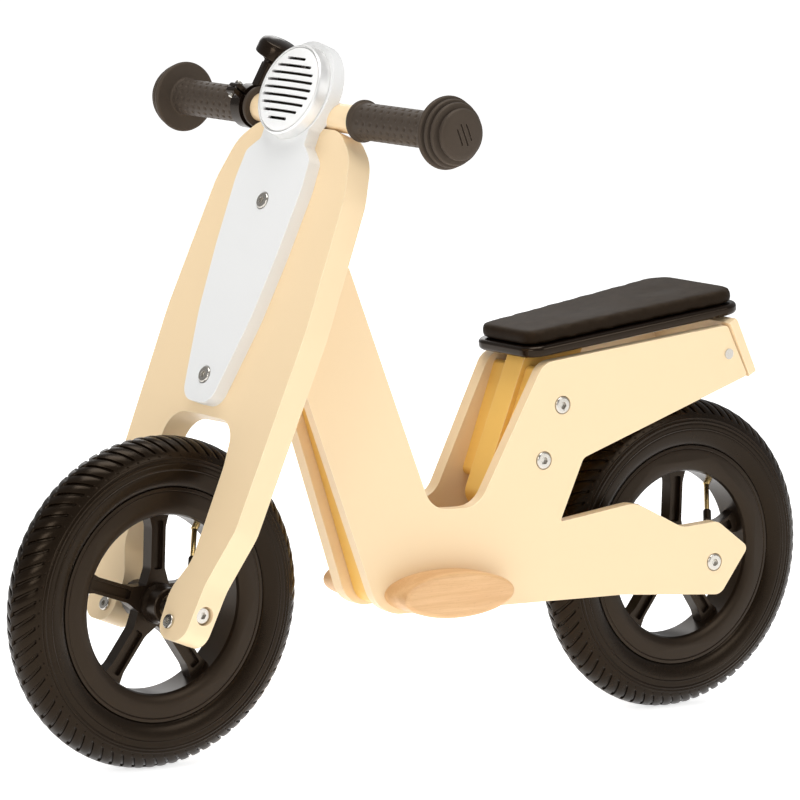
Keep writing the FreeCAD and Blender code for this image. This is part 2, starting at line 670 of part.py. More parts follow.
def tyre():
    """Hollow pneumatic casing, open at the beads."""
    crown = TYRE_RADIUS - TYRE_WIDTH / 2
    half = TYRE_WIDTH / 2
    wall = 3.6
    slant = math.sqrt(0.5)

    def mirrored_arc(first, middle, last):
        return Part.Arc(*[Vector(r, y, 0) for r, y in (first, middle, last)]).toShape()

    def straight(first, last):
        return Part.LineSegment(Vector(*first, 0), Vector(*last, 0)).toShape()

    outer_top = (crown + half * slant, half * slant)
    inner_half = half - wall
    inner_top = (crown + inner_half * slant, inner_half * slant)
    edges = []
    for sign in (1, -1):
        edges.append(mirrored_arc((105.3, sign * 17.1), (113.5, sign * 22.2), (crown, sign * half)))
        edges.append(straight((105.3, sign * 17.1), (102.05, sign * 16.9)))
        edges.append(straight((102.05, sign * 16.9), (102.05, sign * 12.5)))
        edges.append(mirrored_arc((102.05, sign * 12.5), (112.5, sign * 18.2),
                                  (crown, sign * inner_half)))
    for reach, top in ((half, outer_top), (inner_half, inner_top)):
        edges.append(mirrored_arc((crown, reach), top, (crown + reach, 0)))
        edges.append(mirrored_arc((crown, -reach), (top[0], -top[1]), (crown + reach, 0)))
    wire = Part.Wire(Part.sortEdges(edges)[0])
    return Part.Face(wire).revolve(Vector(0, 0, 0), Y_AXIS, 360)


def inner_tube():
    full = Part.makeTorus(TUBE_CENTRE, TUBE_RADIUS, Vector(0, 0, 0), Y_AXIS)
    hollow = Part.makeTorus(TUBE_CENTRE, TUBE_RADIUS - TUBE_WALL, Vector(0, 0, 0), Y_AXIS)
    return full.cut(hollow)


def rim():
    """One-piece moulded wheel: channel, five ribbed spokes and a hub."""
    face = [(RIM_INNER, 14.5), (RIM_INNER + 1.3, 17.2), (RIM_INNER + 4, 18.8),
            (RIM_INNER + 9, 19.6), (98.0, 19.6), (101.0, 19.1), (101.6, 18.6), (102.4, 19.3),
            (RIM_FLANGE, 19.0), (RIM_FLANGE, 17.2), (102.0, 17.0), (102.0, 11.5),
            (RIM_FLOOR, 10.5)]
    channel = turned(face + [(r, -along) for r, along in reversed(face)])
    hub = turned([(0, -HUB_HALF), (15.5, -HUB_HALF), (16.5, -HUB_HALF + 1), (16.5, -14),
                  (HUB_RADIUS, -10), (HUB_RADIUS, 10), (16.5, 14), (16.5, HUB_HALF - 1),
                  (15.5, HUB_HALF), (0, HUB_HALF)])
    wheel = channel.fuse(hub)
    for index in range(SPOKES):
        wheel = wheel.fuse(spoke(index))
    bore = y_rod(AXLE_RADIUS + 2.5, -40, 40)
    seats = y_rod(BEARING_RADIUS, HUB_HALF - BEARING_WIDTH, 40).fuse(
        y_rod(BEARING_RADIUS, -40, BEARING_WIDTH - HUB_HALF))
    return wheel.cut(bore).cut(seats).cut(valve_hole()).removeSplitter()


SPOKE_HALF = [(HUB_RADIUS - 3, 12.5, 0), (31.0, 7.4, 14), (68.0, 7.4, 16), (RIM_INNER + 2, 11.0, 0)]
SPOKE_DEPTH, SPOKE_WEB = 6.5, 2.4       # half thicknesses at its edges and in its channel


def spoke(index):
    """Slim arm flared into the hub and rim, with a channel in both faces."""
    outline = SPOKE_HALF + [(x, -z, r) for x, z, r in reversed(SPOKE_HALF)]
    body = side_slab(outline, -SPOKE_DEPTH, SPOKE_DEPTH)
    for low, high in ((SPOKE_WEB, 20), (-20, -SPOKE_WEB)):
        trough = side_slab([(30.0, -4.4, 2), (RIM_INNER - 6, -4.8, 2),
                            (RIM_INNER - 6, 4.8, 2), (30.0, 4.4, 2)], low, high)
        body = body.cut(trough)
    body.rotate(Vector(0, 0, 0), Y_AXIS, -90 - index * 360 / SPOKES)
    return body


def valve_line(piece):
    """Valve pieces are made along +X from the hub and turned between two spokes."""
    piece.rotate(Vector(0, 0, 0), Y_AXIS, -VALVE_ANGLE)
    return piece


def valve_hole():
    return valve_line(x_rod(3.2, RIM_INNER - 6, RIM_FLOOR + 4))


def valve():
    """Brass stem that leaves the rim and bends towards the rider's left."""
    elbow_place = Vector(VALVE_BEND, 0, 0)
    stem = x_rod(3.0, VALVE_BEND, 104.4).fuse(Part.makeSphere(3.0, elbow_place))
    arm = Part.makeCylinder(2.4, VALVE_ARM - 2, elbow_place, VALVE_LEAN)
    return valve_line(stem.fuse(arm).removeSplitter())


def valve_cap():
    base = Vector(VALVE_BEND, 0, 0) + VALVE_LEAN * (VALVE_ARM - CAP_LONG)
    cap = Part.makeCylinder(3.9, CAP_LONG, base, VALVE_LEAN)
    return valve_line(cap.cut(Part.makeCylinder(2.4, CAP_LONG - 2, base, VALVE_LEAN)))


def bearings():
    pair = []
    for low in (-HUB_HALF, HUB_HALF - BEARING_WIDTH):
        pair.append(ring(BEARING_RADIUS, BEARING_BORE, low, low + BEARING_WIDTH))
    return pair


def wheel_pieces(prefix, x):
    pieces = {
        prefix + "_tyre": [tyre()],
        prefix + "_inner_tube": [inner_tube().cut(valve_line(x_rod(3.0, 90, 104.4)))],
        prefix + "_rim": [rim()],
        prefix + "_valve": [valve()],
        prefix + "_valve_cap": [valve_cap()],
        prefix + "_bearings": bearings(),
    }
    for name, solids in pieces.items():
        for solid in solids:
            solid.translate(Vector(x, 0, AXLE_Z))
        keep(name, *solids)


# ---- seat ------------------------------------------------------------------
PAD_FRONT, PAD_REAR = 214.0, -24.5          # from the rear axle
PAD_TOP_AT_AXLE = 405.8
PAD_THICK, TRAY_THICK = 14.0, 10.5
PAD_HALF_FRONT, PAD_HALF_REAR = 42.5, 61.5
TRAY_PROUD = 2.2


def seat_place():
    """Seat frame: origin on the pad's top above the rear axle, X forward down the slope."""
    return Placement(Vector(REAR_X, 0, PAD_TOP_AT_AXLE), Rotation(Y_AXIS, SEAT_SLOPE))


def on_seat(shape):
    placed = shape.copy()
    placed.Placement = seat_place().multiply(placed.Placement)
    return placed


def seat_outline(grow, front_round, rear_round):
    stretch = 1 / math.cos(math.radians(SEAT_SLOPE))
    front = PAD_FRONT * stretch + grow
    rear = PAD_REAR * stretch - grow
    wide_front, wide_rear = PAD_HALF_FRONT + grow, PAD_HALF_REAR + grow
    return [(front, -wide_front, front_round), (front, wide_front, front_round),
            (rear, wide_rear, rear_round), (rear, -wide_rear, rear_round)]


def seat_pad():
    return on_seat(plan_slab(seat_outline(0, 17, 19), -PAD_THICK, 0))


def seat_tray():
    """Moulded tray with a rim that stands a little proud of the pad and a hollow underside."""
    low = -PAD_THICK - TRAY_THICK
    body = plan_slab(seat_outline(TRAY_PROUD, 19, 21), low, -PAD_THICK)
    edges = [edge for edge in body.Edges if abs(edge.BoundBox.ZMax - edge.BoundBox.ZMin) < 1e-6]
    body = body.makeFillet(4.0, edges)
    pocket = plan_slab(seat_outline(-3.0, 12, 14), low - 1, -PAD_THICK - 4.0)
    centre = seat_post_top()
    boss = plan_slab([(centre - 50, -28, 6), (centre + 50, -28, 6), (centre + 50, 28, 6),
                      (centre - 50, 28, 6)], low - 2, 0)
    tray = on_seat(body.cut(pocket.cut(boss)))
    for screw in seat_screws():
        tray = tray.cut(screw)
    return tray


def seat_post_top():
    """Where the post's middle line meets the tray, forward of the axle along the seat."""
    return 162.0 / math.cos(math.radians(SEAT_SLOPE))


def post_place():
    """Post frame: origin on the upper clamp bolt, Z up the post."""
    x, z = SEAT_BOLTS[0]
    return Placement(Vector(REAR_X + x, 0, z), Rotation(Y_AXIS, -POST_LEAN))


def on_post(shape):
    placed = shape.copy()
    placed.Placement = post_place().multiply(placed.Placement)
    return placed


def seat_post():
    half = POST_WIDTH / 2
    low = -SEAT_BOLT_GAP - SEAT_TRAVEL - 16
    board = on_post(side_slab([(-half, low, 14), (half, low, 14), (half, 90, 0), (-half, 90, 0)],
                              -POST_THICK / 2, POST_THICK / 2))
    above = plan_slab([(0, -80, 0), (300, -80, 0), (300, 80, 0), (0, 80, 0)],
                      -PAD_THICK - TRAY_THICK, 200)
    board = board.cut(on_seat(above))
    slot_half = 4.0 + RUN_GAP
    slot = on_post(side_slab([(-slot_half, -SEAT_BOLT_GAP - SEAT_TRAVEL - 5.5, 4.2),
                              (slot_half, -SEAT_BOLT_GAP - SEAT_TRAVEL - 5.5, 4.2),
                              (slot_half, slot_half + 0.4, 4.2), (-slot_half, slot_half + 0.4, 4.2)],
                             -30, 30))
    board = board.cut(slot)
    for screw in seat_screws():
        board = board.cut(screw)
    return board


def seat_screws():
    screws = []
    for offset in (-20.0, 20.0):
        profile = [(0, 0), (6.0, 0), (3.0, -3.2), (3.0, -36), (0, -40)]
        screw = z_turned(profile)
        screw.translate(Vector(seat_post_top() + offset, 0, -PAD_THICK))
        screws.append(on_seat(screw))
    return screws


def seat_spacer():
    """Packing block that fills the space between the post and a side panel."""
    block = on_post(side_slab([(-26, -84, 6), (26, -84, 6), (26, 28, 6), (-26, 28, 6)],
                              POST_THICK / 2 + RUN_GAP, 60))
    block = block.common(between_panels())
    for x, z in SEAT_BOLTS:
        block = block.cut(y_rod(4.1, 0, 80, REAR_X + x, z))
    return block


def seat_bolt(x, z):
    face = panel_outer_y(x) - 3.2
    return socket_bolt(8.2, 4.4, 4.0, 2 * face + 6, Vector(REAR_X + x, face, z), Y_AXIS)


def seat_nut(x, z):
    face = panel_outer_y(x) - 3.2
    nut = y_rod(8.2, -face - 4.4, -face, REAR_X + x, z)
    return nut.cut(y_rod(4.0, -face - 6, -face + 1, REAR_X + x, z))


# ---- axles -----------------------------------------------------------------
def axle(x, half):
    rod = y_rod(AXLE_RADIUS, -half, half, x, AXLE_Z)
    for side in (1, -1):
        hole = y_rod(2.5, half - 18, half + 1, x, AXLE_Z)
        rod = rod.cut(hole if side > 0 else mirrored(hole))
    return rod


def axle_bolts(x, seat_y):
    left = socket_bolt(8.2, 4.4, 2.5, 16.0, Vector(x, seat_y, AXLE_Z), Y_AXIS)
    return [left, mirrored(left)]


def axle_spacers(x, low, high):
    left = ring(7.0, AXLE_RADIUS, low, high, x, AXLE_Z)
    return [left, mirrored(left)]


# ---- every piece -----------------------------------------------------------
def build_frame():
    panel = left_panel()
    keep("frame_panel_left", panel)
    keep("frame_panel_right", mirrored(panel))
    keep("leg_shield_board", leg_shield())
    keep("bottom_board", bottom_board())
    keep("head_block", head_block())
    keep("steering_bushes",
         steering_bush(HEAD_LOW - 1.6, HEAD_LOW + 16, HEAD_LOW - 1.6, HEAD_LOW),
         steering_bush(HEAD_HIGH - 16, HEAD_HIGH + 1.6, HEAD_HIGH, HEAD_HIGH + 1.6))
    bolts = [tail_bolt(1), tail_bolt(-1)]
    nuts = [tail_nut(side).cut(bolts[0]).cut(bolts[1]) for side in (1, -1)]
    keep("tail_plate", tail_plate().cut(bolts[0]).cut(bolts[1]))
    keep("tail_bolts", *bolts)
    keep("tail_barrel_nuts", *nuts)
    block = footrest()
    keep("footrest_left", block)
    keep("footrest_right", mirrored(block))
    keep("footrest_screws", *[peg_screw(x, side) for x in peg_screw_xs() for side in (1, -1)])
    spacer = seat_spacer()
    keep("seat_spacers", spacer, mirrored(spacer))
    keep("seat_clamp_bolts", *[seat_bolt(x, z) for x, z in SEAT_BOLTS])
    keep("seat_clamp_nuts", *[seat_nut(x, z) for x, z in SEAT_BOLTS])
    keep("rear_axle", axle(REAR_X, PANEL_Y_AT_AXLE - 3.2))
    keep("rear_axle_bolts", *axle_bolts(REAR_X, PANEL_Y_AT_AXLE - 3.2))
    keep("rear_axle_spacers", *axle_spacers(REAR_X, HUB_HALF + RUN_GAP, 53.2))


def build_fork():
    keep("fork_front_plate", on_fork(fork_plate()))
    keep("shield_plate", on_fork(shield_plate()))
    keep("shield_bolts", *[on_fork(shield_bolt(height)) for height in SHIELD_BOLTS])
    keep("shield_nuts", *[on_fork(shield_nut(height)) for height in SHIELD_BOLTS])
    keep("steering_bracket_upper", bracket(UPPER_SHELF, SHIELD_BOLTS[0] + 14))
    keep("steering_bracket_lower", bracket(LOWER_SHELF, SHIELD_BOLTS[1] - 14))
    keep("steering_bolt", steering_bolt())
    keep("steering_nut", steering_nut())
    keep("lamp_ring", lamp_ring())
    keep("lamp_grille", lamp_grille())
    keep("lamp_backing", lamp_backing())
    keep("lamp_screws", *[on_fork(screw) for screw in lamp_screws()])
    keep("handlebar", handlebar())
    keep("handlebar_screws", *[on_fork(bar_screw(y)) for y in BAR_SCREW_YS])
    left_grip = grip()
    keep("grip_left", left_grip)
    keep("grip_right", mirrored(left_grip))
    keep("front_axle", axle(FRONT_X, 73.5))
    keep("front_axle_bolts", *axle_bolts(FRONT_X, 73.5))
    keep("front_axle_spacers", *axle_spacers(FRONT_X, HUB_HALF + RUN_GAP, 36.0))
    legs = [socket_bolt(6.6, 3.0, 3.0, 18.0, Vector(PLATE_THICK / 2, side * LEG_BOLT_Y, LEG_BOLT_Z),
                        X_AXIS) for side in (1, -1)]
    keep("leg_bolts", *[on_fork(bolt) for bolt in legs])


def build_bell():
    keep("bell_clamp", bell_clamp())
    keep("bell_clamp_screw", bell_clamp_screw())
    keep("bell_arm", bell_arm())
    keep("bell_cap", bell_cap())
    keep("bell_lever_pin", bell_pin())
    keep("bell_lever", bell_lever())


def build_seat():
    keep("seat_pad", seat_pad())
    keep("seat_tray", seat_tray())
    keep("seat_post", seat_post())
    keep("seat_screws", *seat_screws())


build_frame()
build_fork()
build_bell()
wheel_pieces("front", FRONT_X)
wheel_pieces("rear", REAR_X)
build_seat()

whole = Part.makeCompound(list(PIECES.values())).BoundBox
print("pieces", len(PIECES), "box", whole)
print("steering pivot", fork_frame().multVec(Vector(-STEER_BACK, 0, 0)))
bell_pin_line = on_bell(y_rod(1.0, -5, 5, *LEVER_PIN)).CenterOfMass
print("bell lever pivot", bell_pin_line, "leans", BELL_TILT, "towards the lamp")
for piece_name, piece_shape in PIECES.items():
    print(piece_name, len(piece_shape.Solids), round(piece_shape.Volume), piece_shape.isValid())
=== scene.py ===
"""Balance bike with a scooter-style wooden frame: the looks that go over the fixed CAD frame.

Metres throughout: +X is forward, +Y is the rider's left, +Z is up, and the ground is at zero.
"""
import json
import math

import bmesh
import bpy
from mathutils import Matrix, Vector


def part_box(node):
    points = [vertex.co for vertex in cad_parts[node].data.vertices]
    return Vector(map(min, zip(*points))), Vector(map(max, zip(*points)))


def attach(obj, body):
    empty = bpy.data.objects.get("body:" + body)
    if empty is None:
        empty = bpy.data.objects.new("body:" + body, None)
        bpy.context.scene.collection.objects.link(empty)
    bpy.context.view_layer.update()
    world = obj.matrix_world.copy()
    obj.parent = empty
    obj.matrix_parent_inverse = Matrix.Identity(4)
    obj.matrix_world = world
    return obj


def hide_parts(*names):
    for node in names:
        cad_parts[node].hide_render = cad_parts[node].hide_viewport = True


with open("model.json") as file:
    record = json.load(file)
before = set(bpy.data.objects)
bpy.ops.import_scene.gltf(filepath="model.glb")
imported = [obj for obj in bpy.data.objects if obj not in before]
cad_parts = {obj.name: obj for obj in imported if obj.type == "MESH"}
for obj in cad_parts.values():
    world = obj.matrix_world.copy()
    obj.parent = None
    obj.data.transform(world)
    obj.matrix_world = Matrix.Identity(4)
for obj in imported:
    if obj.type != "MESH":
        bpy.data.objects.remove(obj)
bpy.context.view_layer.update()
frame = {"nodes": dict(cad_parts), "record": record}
NODES = frame["nodes"]
BODY_OF_NODE = {node: body for body, nodes in frame["record"]["behaviour"]["bodies"].items()
                for node in nodes}
SLOT_OF_NODE = {part["node"]: part["material_slot"] for part in frame["record"]["subparts"]}
MM = 0.001


# ---- camera, lights and floor ----------------------------------------------
CAMERA_TARGET = Vector((0.0307, 0.0, 0.3142))
CAMERA_DISTANCE = 4.5887
CAMERA_TURN, CAMERA_RISE, CAMERA_ROLL = 36.97, 7.74, 1.73       # degrees, turn from +Y to +X


def make_camera():
    """Long lens, low over the ground, from the front and the rider's left."""
    azimuth, elevation, roll = (math.radians(angle)
                                for angle in (CAMERA_TURN, CAMERA_RISE, CAMERA_ROLL))
    back = Vector((math.sin(azimuth) * math.cos(elevation),
                   math.cos(azimuth) * math.cos(elevation), math.sin(elevation)))
    right = (-back).cross(Vector((0, 0, 1))).normalized()
    up = right.cross(-back)
    across = right * math.cos(roll) + up * math.sin(roll)
    upward = up * math.cos(roll) - right * math.sin(roll)
    lens = bpy.data.cameras.new("product_lens")
    lens.lens, lens.sensor_width = 226.2, 36.0
    lens.clip_start, lens.clip_end = 0.05, 200.0
    camera = bpy.data.objects.new("product_camera", lens)
    bpy.context.scene.collection.objects.link(camera)
    camera.matrix_world = Matrix.Translation(CAMERA_TARGET + back * CAMERA_DISTANCE) @ Matrix(
        (across, upward, back)).transposed().to_4x4()
    bpy.context.scene.camera = camera


SOFTBOXES = (       # name, place, aim, side in metres, power in watts
    ("overhead_softbox", (0.2, 0.3, 3.0), (0.0, 0.0, 0.2), 1.8, 46),
    ("front_softbox", (3.0, 1.6, 1.7), (0.1, 0.0, 0.3), 1.3, 27),
    ("side_softbox", (-1.4, 3.2, 1.6), (-0.1, 0.0, 0.3), 1.3, 18),
    ("far_softbox", (-1.2, -2.8, 1.8), (0.0, 0.0, 0.3), 1.8, 16),
)
ROOM_LIGHT, PAPER_GLOW = 0.36, 0.74


def softbox(name, place, aim, side, power):
    data = bpy.data.lights.new(name, "AREA")
    data.shape, data.size, data.energy = "SQUARE", side, power
    lamp = bpy.data.objects.new(name, data)
    bpy.context.scene.collection.objects.link(lamp)
    lamp.location = place
    lamp.rotation_mode = "QUATERNION"
    lamp.rotation_quaternion = (Vector(aim) - Vector(place)).to_track_quat("-Z", "Y")


def make_studio():
    scene = bpy.context.scene
    scene.view_settings.view_transform = "Standard"
    world = bpy.data.worlds.new("white_studio")
    world.use_nodes = True
    background = world.node_tree.nodes["Background"]
    background.inputs["Color"].default_value = (1.0, 1.0, 1.0, 1.0)
    background.inputs["Strength"].default_value = ROOM_LIGHT
    scene.world = world
    for settings in SOFTBOXES:
        softbox(*settings)


def make_floor():
    """Seamless white paper under and behind the bike."""
    mesh = bpy.data.meshes.new("paper_floor")
    reach = 60.0
    mesh.from_pydata([(-reach, -reach, 0), (reach, -reach, 0), (reach, reach, 0), (-reach, reach, 0)],
                     [], [(0, 1, 2, 3)])
    floor = bpy.data.objects.new("paper_floor", mesh)
    bpy.context.scene.collection.objects.link(floor)
    material, shader = plain_material("studio_paper", (0.97, 0.97, 0.97), 0.9)
    shader.inputs["Emission Color"].default_value = (1.0, 1.0, 1.0, 1.0)
    shader.inputs["Emission Strength"].default_value = PAPER_GLOW
    grain = place_group(material, FINE_RELIEF, Size=0.004, Detail=3.0)
    bump(material, shader, grain.outputs["Height"], 0.02, 0.0005)
    mesh.materials.append(material)


# ---- shared shader effects -------------------------------------------------
def new_group(name, inputs, outputs):
    """Empty effect with named value inputs; returns the tree with its two end nodes."""
    tree = bpy.data.node_groups.new(name, "ShaderNodeTree")
    for label, value in inputs.items():
        made = tree.interface.new_socket(name=label, in_out="INPUT", socket_type="NodeSocketFloat")
        made.default_value = value
    for label, kind in outputs.items():
        tree.interface.new_socket(name=label, in_out="OUTPUT", socket_type=kind)
    return tree, tree.nodes.new("NodeGroupInput"), tree.nodes.new("NodeGroupOutput")


def math_node(tree, operation, first, second=None, third=None):
    node = tree.nodes.new("ShaderNodeMath")
    node.operation = operation
    for slot, value in enumerate((first, second, third)):
        if value is None:
            continue
        if isinstance(value, (int, float)):
            node.inputs[slot].default_value = value
        else:
            tree.links.new(value, node.inputs[slot])
    return node.outputs[0]


def noise(tree, place, scale, detail, roughness=0.55):
    node = tree.nodes.new("ShaderNodeTexNoise")
    node.inputs["Roughness"].default_value = roughness
    tree.links.new(place, node.inputs["Vector"])
    for label, value in (("Scale", scale), ("Detail", detail)):
        if isinstance(value, (int, float)):
            node.inputs[label].default_value = value
        else:
            tree.links.new(value, node.inputs[label])
    return node.outputs["Fac"]


def object_place(tree, stretch=(1, 1, 1), turn=(0, 0, 0)):
    """Places on the bike in metres, squeezed or turned for a directional pattern."""
    source = tree.nodes.new("ShaderNodeTexCoord")
    mapping = tree.nodes.new("ShaderNodeMapping")
    mapping.inputs["Scale"].default_value = stretch
    mapping.inputs["Rotation"].default_value = turn
    tree.links.new(source.outputs["Object"], mapping.inputs["Vector"])
    return mapping.outputs["Vector"]


def shade_drift_group():
    """Slow uneven shade, as paint and rubber have from one place to the next."""
    tree, given, result = new_group("shade_drift", {"Size": 0.1, "Amount": 0.05},
                                    {"Shade": "NodeSocketFloat"})
    scale = math_node(tree, "DIVIDE", 1.0, given.outputs["Size"])
    cloud = noise(tree, object_place(tree), scale, 3.0)
    swing = math_node(tree, "SUBTRACT", cloud, 0.5)
    shade = math_node(tree, "MULTIPLY_ADD", swing, given.outputs["Amount"], 1.0)
    tree.links.new(shade, result.inputs["Shade"])
    return tree


def fine_relief_group():
    """Fine even grain of a moulded, sprayed or pressed surface."""
    tree, given, result = new_group("fine_relief", {"Size": 0.001, "Detail": 2.0},
                                    {"Height": "NodeSocketFloat"})
    scale = math_node(tree, "DIVIDE", 1.0, given.outputs["Size"])
    tree.links.new(noise(tree, object_place(tree), scale, given.outputs["Detail"]),
                   result.inputs["Height"])
    return tree


def edge_wear_group():
    """Mask of rounded-over corners, where hands and the ground rub first."""
    tree, given, result = new_group("edge_wear", {"Reach": 0.002, "Breakup": 0.02},
                                    {"Mask": "NodeSocketFloat"})
    rounded = tree.nodes.new("ShaderNodeBevel")
    rounded.samples = 4
    tree.links.new(given.outputs["Reach"], rounded.inputs["Radius"])
    geometry = tree.nodes.new("ShaderNodeNewGeometry")
    compare = tree.nodes.new("ShaderNodeVectorMath")
    compare.operation = "DOT_PRODUCT"
    tree.links.new(rounded.outputs["Normal"], compare.inputs[0])
    tree.links.new(geometry.outputs["Normal"], compare.inputs[1])
    bend = math_node(tree, "SUBTRACT", 1.0, compare.outputs["Value"])
    scale = math_node(tree, "DIVIDE", 1.0, given.outputs["Breakup"])
    patches = noise(tree, object_place(tree), scale, 4.0)
    mask = math_node(tree, "MULTIPLY", math_node(tree, "MULTIPLY", bend, 5.0), patches)
    tree.links.new(math_node(tree, "MINIMUM", mask, 1.0), result.inputs["Mask"])
    return tree


def settled_dust_group():
    """Mask of light dust that lies on surfaces facing up and in their fine relief."""
    tree, given, result = new_group("settled_dust", {"Amount": 0.2}, {"Mask": "NodeSocketFloat"})
    geometry = tree.nodes.new("ShaderNodeNewGeometry")
    split = tree.nodes.new("ShaderNodeSeparateXYZ")
    tree.links.new(geometry.outputs["Normal"], split.inputs[0])
    facing = math_node(tree, "MULTIPLY_ADD", split.outputs["Z"], 0.5, 0.5)
    lying = math_node(tree, "POWER", facing, 3.0)
    specks = noise(tree, object_place(tree), 90.0, 5.0, 0.7)
    settled = math_node(tree, "MULTIPLY", lying, specks)
    tree.links.new(math_node(tree, "MULTIPLY", settled, given.outputs["Amount"]),
                   result.inputs["Mask"])
    return tree


def beech_grain_group():
    """Straight beech grain along X: soft growth bands with short dark ray flecks."""
    tree, given, result = new_group("beech_grain", {"Bands": 1.0, "Flecks": 1.0},
                                    {"Band": "NodeSocketFloat", "Fleck": "NodeSocketFloat"})
    wave = noise(tree, object_place(tree, (7, 90, 130)), 1.0, 4.0)
    fibre = noise(tree, object_place(tree, (30, 600, 900)), 1.0, 3.0)
    mixed = math_node(tree, "MULTIPLY_ADD", fibre, 0.45, wave)
    band = math_node(tree, "MULTIPLY", math_node(tree, "SUBTRACT", mixed, 0.42),
                     given.outputs["Bands"])
    tree.links.new(band, result.inputs["Band"])
    rays = noise(tree, object_place(tree, (220, 800, 1500)), 1.0, 1.0)
    sharp = math_node(tree, "MULTIPLY", math_node(tree, "SUBTRACT", rays, 0.62), 7.0)
    kept = math_node(tree, "MAXIMUM", math_node(tree, "MINIMUM", sharp, 1.0), 0.0)
    tree.links.new(math_node(tree, "MULTIPLY", kept, given.outputs["Flecks"]),
                   result.inputs["Fleck"])
    return tree


SHADE_DRIFT = shade_drift_group()
FINE_RELIEF = fine_relief_group()
EDGE_WEAR = edge_wear_group()
SETTLED_DUST = settled_dust_group()
BEECH_GRAIN = beech_grain_group()


# ---- material building tools -----------------------------------------------
def plain_material(name, colour, roughness, metallic=0.0):
    material = bpy.data.materials.new(name)
    material.use_nodes = True
    shader = material.node_tree.nodes["Principled BSDF"]
    shader.inputs["Base Color"].default_value = (*colour, 1.0)
    shader.inputs["Roughness"].default_value = roughness
    shader.inputs["Metallic"].default_value = metallic
    return material, shader


SHINE_TINT = (1.0, 0.76, 0.54, 1.0)


def warm_surface(name, colour, roughness, shine):
    """Base with a chosen strength of shine, warmed in colour."""
    material, shader = plain_material(name, colour, roughness)
    shader.inputs["Specular IOR Level"].default_value = shine
    shader.inputs["Specular Tint"].default_value = SHINE_TINT
    return material, shader


def place_group(material, group, **values):
    node = material.node_tree.nodes.new("ShaderNodeGroup")
    node.node_tree = group
    for label, value in values.items():
        node.inputs[label].default_value = value
    return node


def mixed_colour(material, factor, first, second, blend="MIX"):
    """Colour between two, each a colour or a socket, by a factor that varies over the surface."""
    tree = material.node_tree
    node = tree.nodes.new("ShaderNodeMix")
    node.data_type, node.blend_type = "RGBA", blend
    if isinstance(factor, float):
        node.inputs[0].default_value = factor
    else:
        tree.links.new(factor, node.inputs[0])
    for index, value in ((6, first), (7, second)):
        if isinstance(value, tuple):
            node.inputs[index].default_value = (*value, 1.0)
        else:
            tree.links.new(value, node.inputs[index])
    return node.outputs[2]


def shaded(material, colour, shade):
    """The colour, or a colour socket, times a shade that varies over the surface."""
    tree = material.node_tree
    node = tree.nodes.new("ShaderNodeVectorMath")
    node.operation = "SCALE"
    if isinstance(colour, tuple):
        node.inputs[0].default_value = colour
    else:
        tree.links.new(colour, node.inputs[0])
    tree.links.new(shade, node.inputs["Scale"])
    return node.outputs[0]


def bump(material, shader, height, strength, distance):
    tree = material.node_tree
    node = tree.nodes.new("ShaderNodeBump")
    node.inputs["Strength"].default_value = strength
    node.inputs["Distance"].default_value = distance
    tree.links.new(height, node.inputs["Height"])
    tree.links.new(node.outputs["Normal"], shader.inputs["Normal"])


def vary_roughness(material, shader, shade, middle, spread):
    tree = material.node_tree
    swing = math_node(tree, "SUBTRACT", shade, 1.0)
    value = math_node(tree, "MULTIPLY_ADD", swing, spread, middle)
    tree.links.new(value, shader.inputs["Roughness"])


def colour_to(material, shader, socket):
    material.node_tree.links.new(socket, shader.inputs["Base Color"])


# ---- finishes --------------------------------------------------------------
def satin_lacquer(name, colour, worn):
    """Sprayed satin lacquer over sanded board, thinner on its eased edges."""
    material, shader = plain_material(name, colour, 0.42)
    shader.inputs["Specular IOR Level"].default_value = 0.42
    shader.inputs["Coat Roughness"].default_value = 0.25
    shader.inputs["Coat Weight"].default_value = 0.12
    drift = place_group(material, SHADE_DRIFT, Size=0.12, Amount=0.035)
    wear = place_group(material, EDGE_WEAR, Reach=0.0022, Breakup=0.008)
    relief = place_group(material, FINE_RELIEF, Size=0.0016, Detail=2.5)
    body = shaded(material, colour, drift.outputs["Shade"])
    colour_to(material, shader, mixed_colour(material, wear.outputs["Mask"], body, worn))
    vary_roughness(material, shader, drift.outputs["Shade"], 0.42, 2.0)
    bump(material, shader, relief.outputs["Height"], 0.10, 0.00025)
    return material


def oiled_beech():
    """Clear-lacquered beech, its grain along the footrest."""
    material, shader = plain_material("clear_beech", (0.74, 0.47, 0.235), 0.42)
    grain = place_group(material, BEECH_GRAIN, Bands=2.4, Flecks=0.35)
    drift = place_group(material, SHADE_DRIFT, Size=0.05, Amount=0.10)
    wood = mixed_colour(material, grain.outputs["Band"], (0.79, 0.515, 0.265), (0.66, 0.385, 0.175))
    flecked = mixed_colour(material, grain.outputs["Fleck"], wood, (0.45, 0.235, 0.10))
    colour_to(material, shader, shaded(material, flecked, drift.outputs["Shade"]))
    vary_roughness(material, shader, drift.outputs["Shade"], 0.42, 1.2)
    bump(material, shader, grain.outputs["Band"], 0.25, 0.0002)
    return material


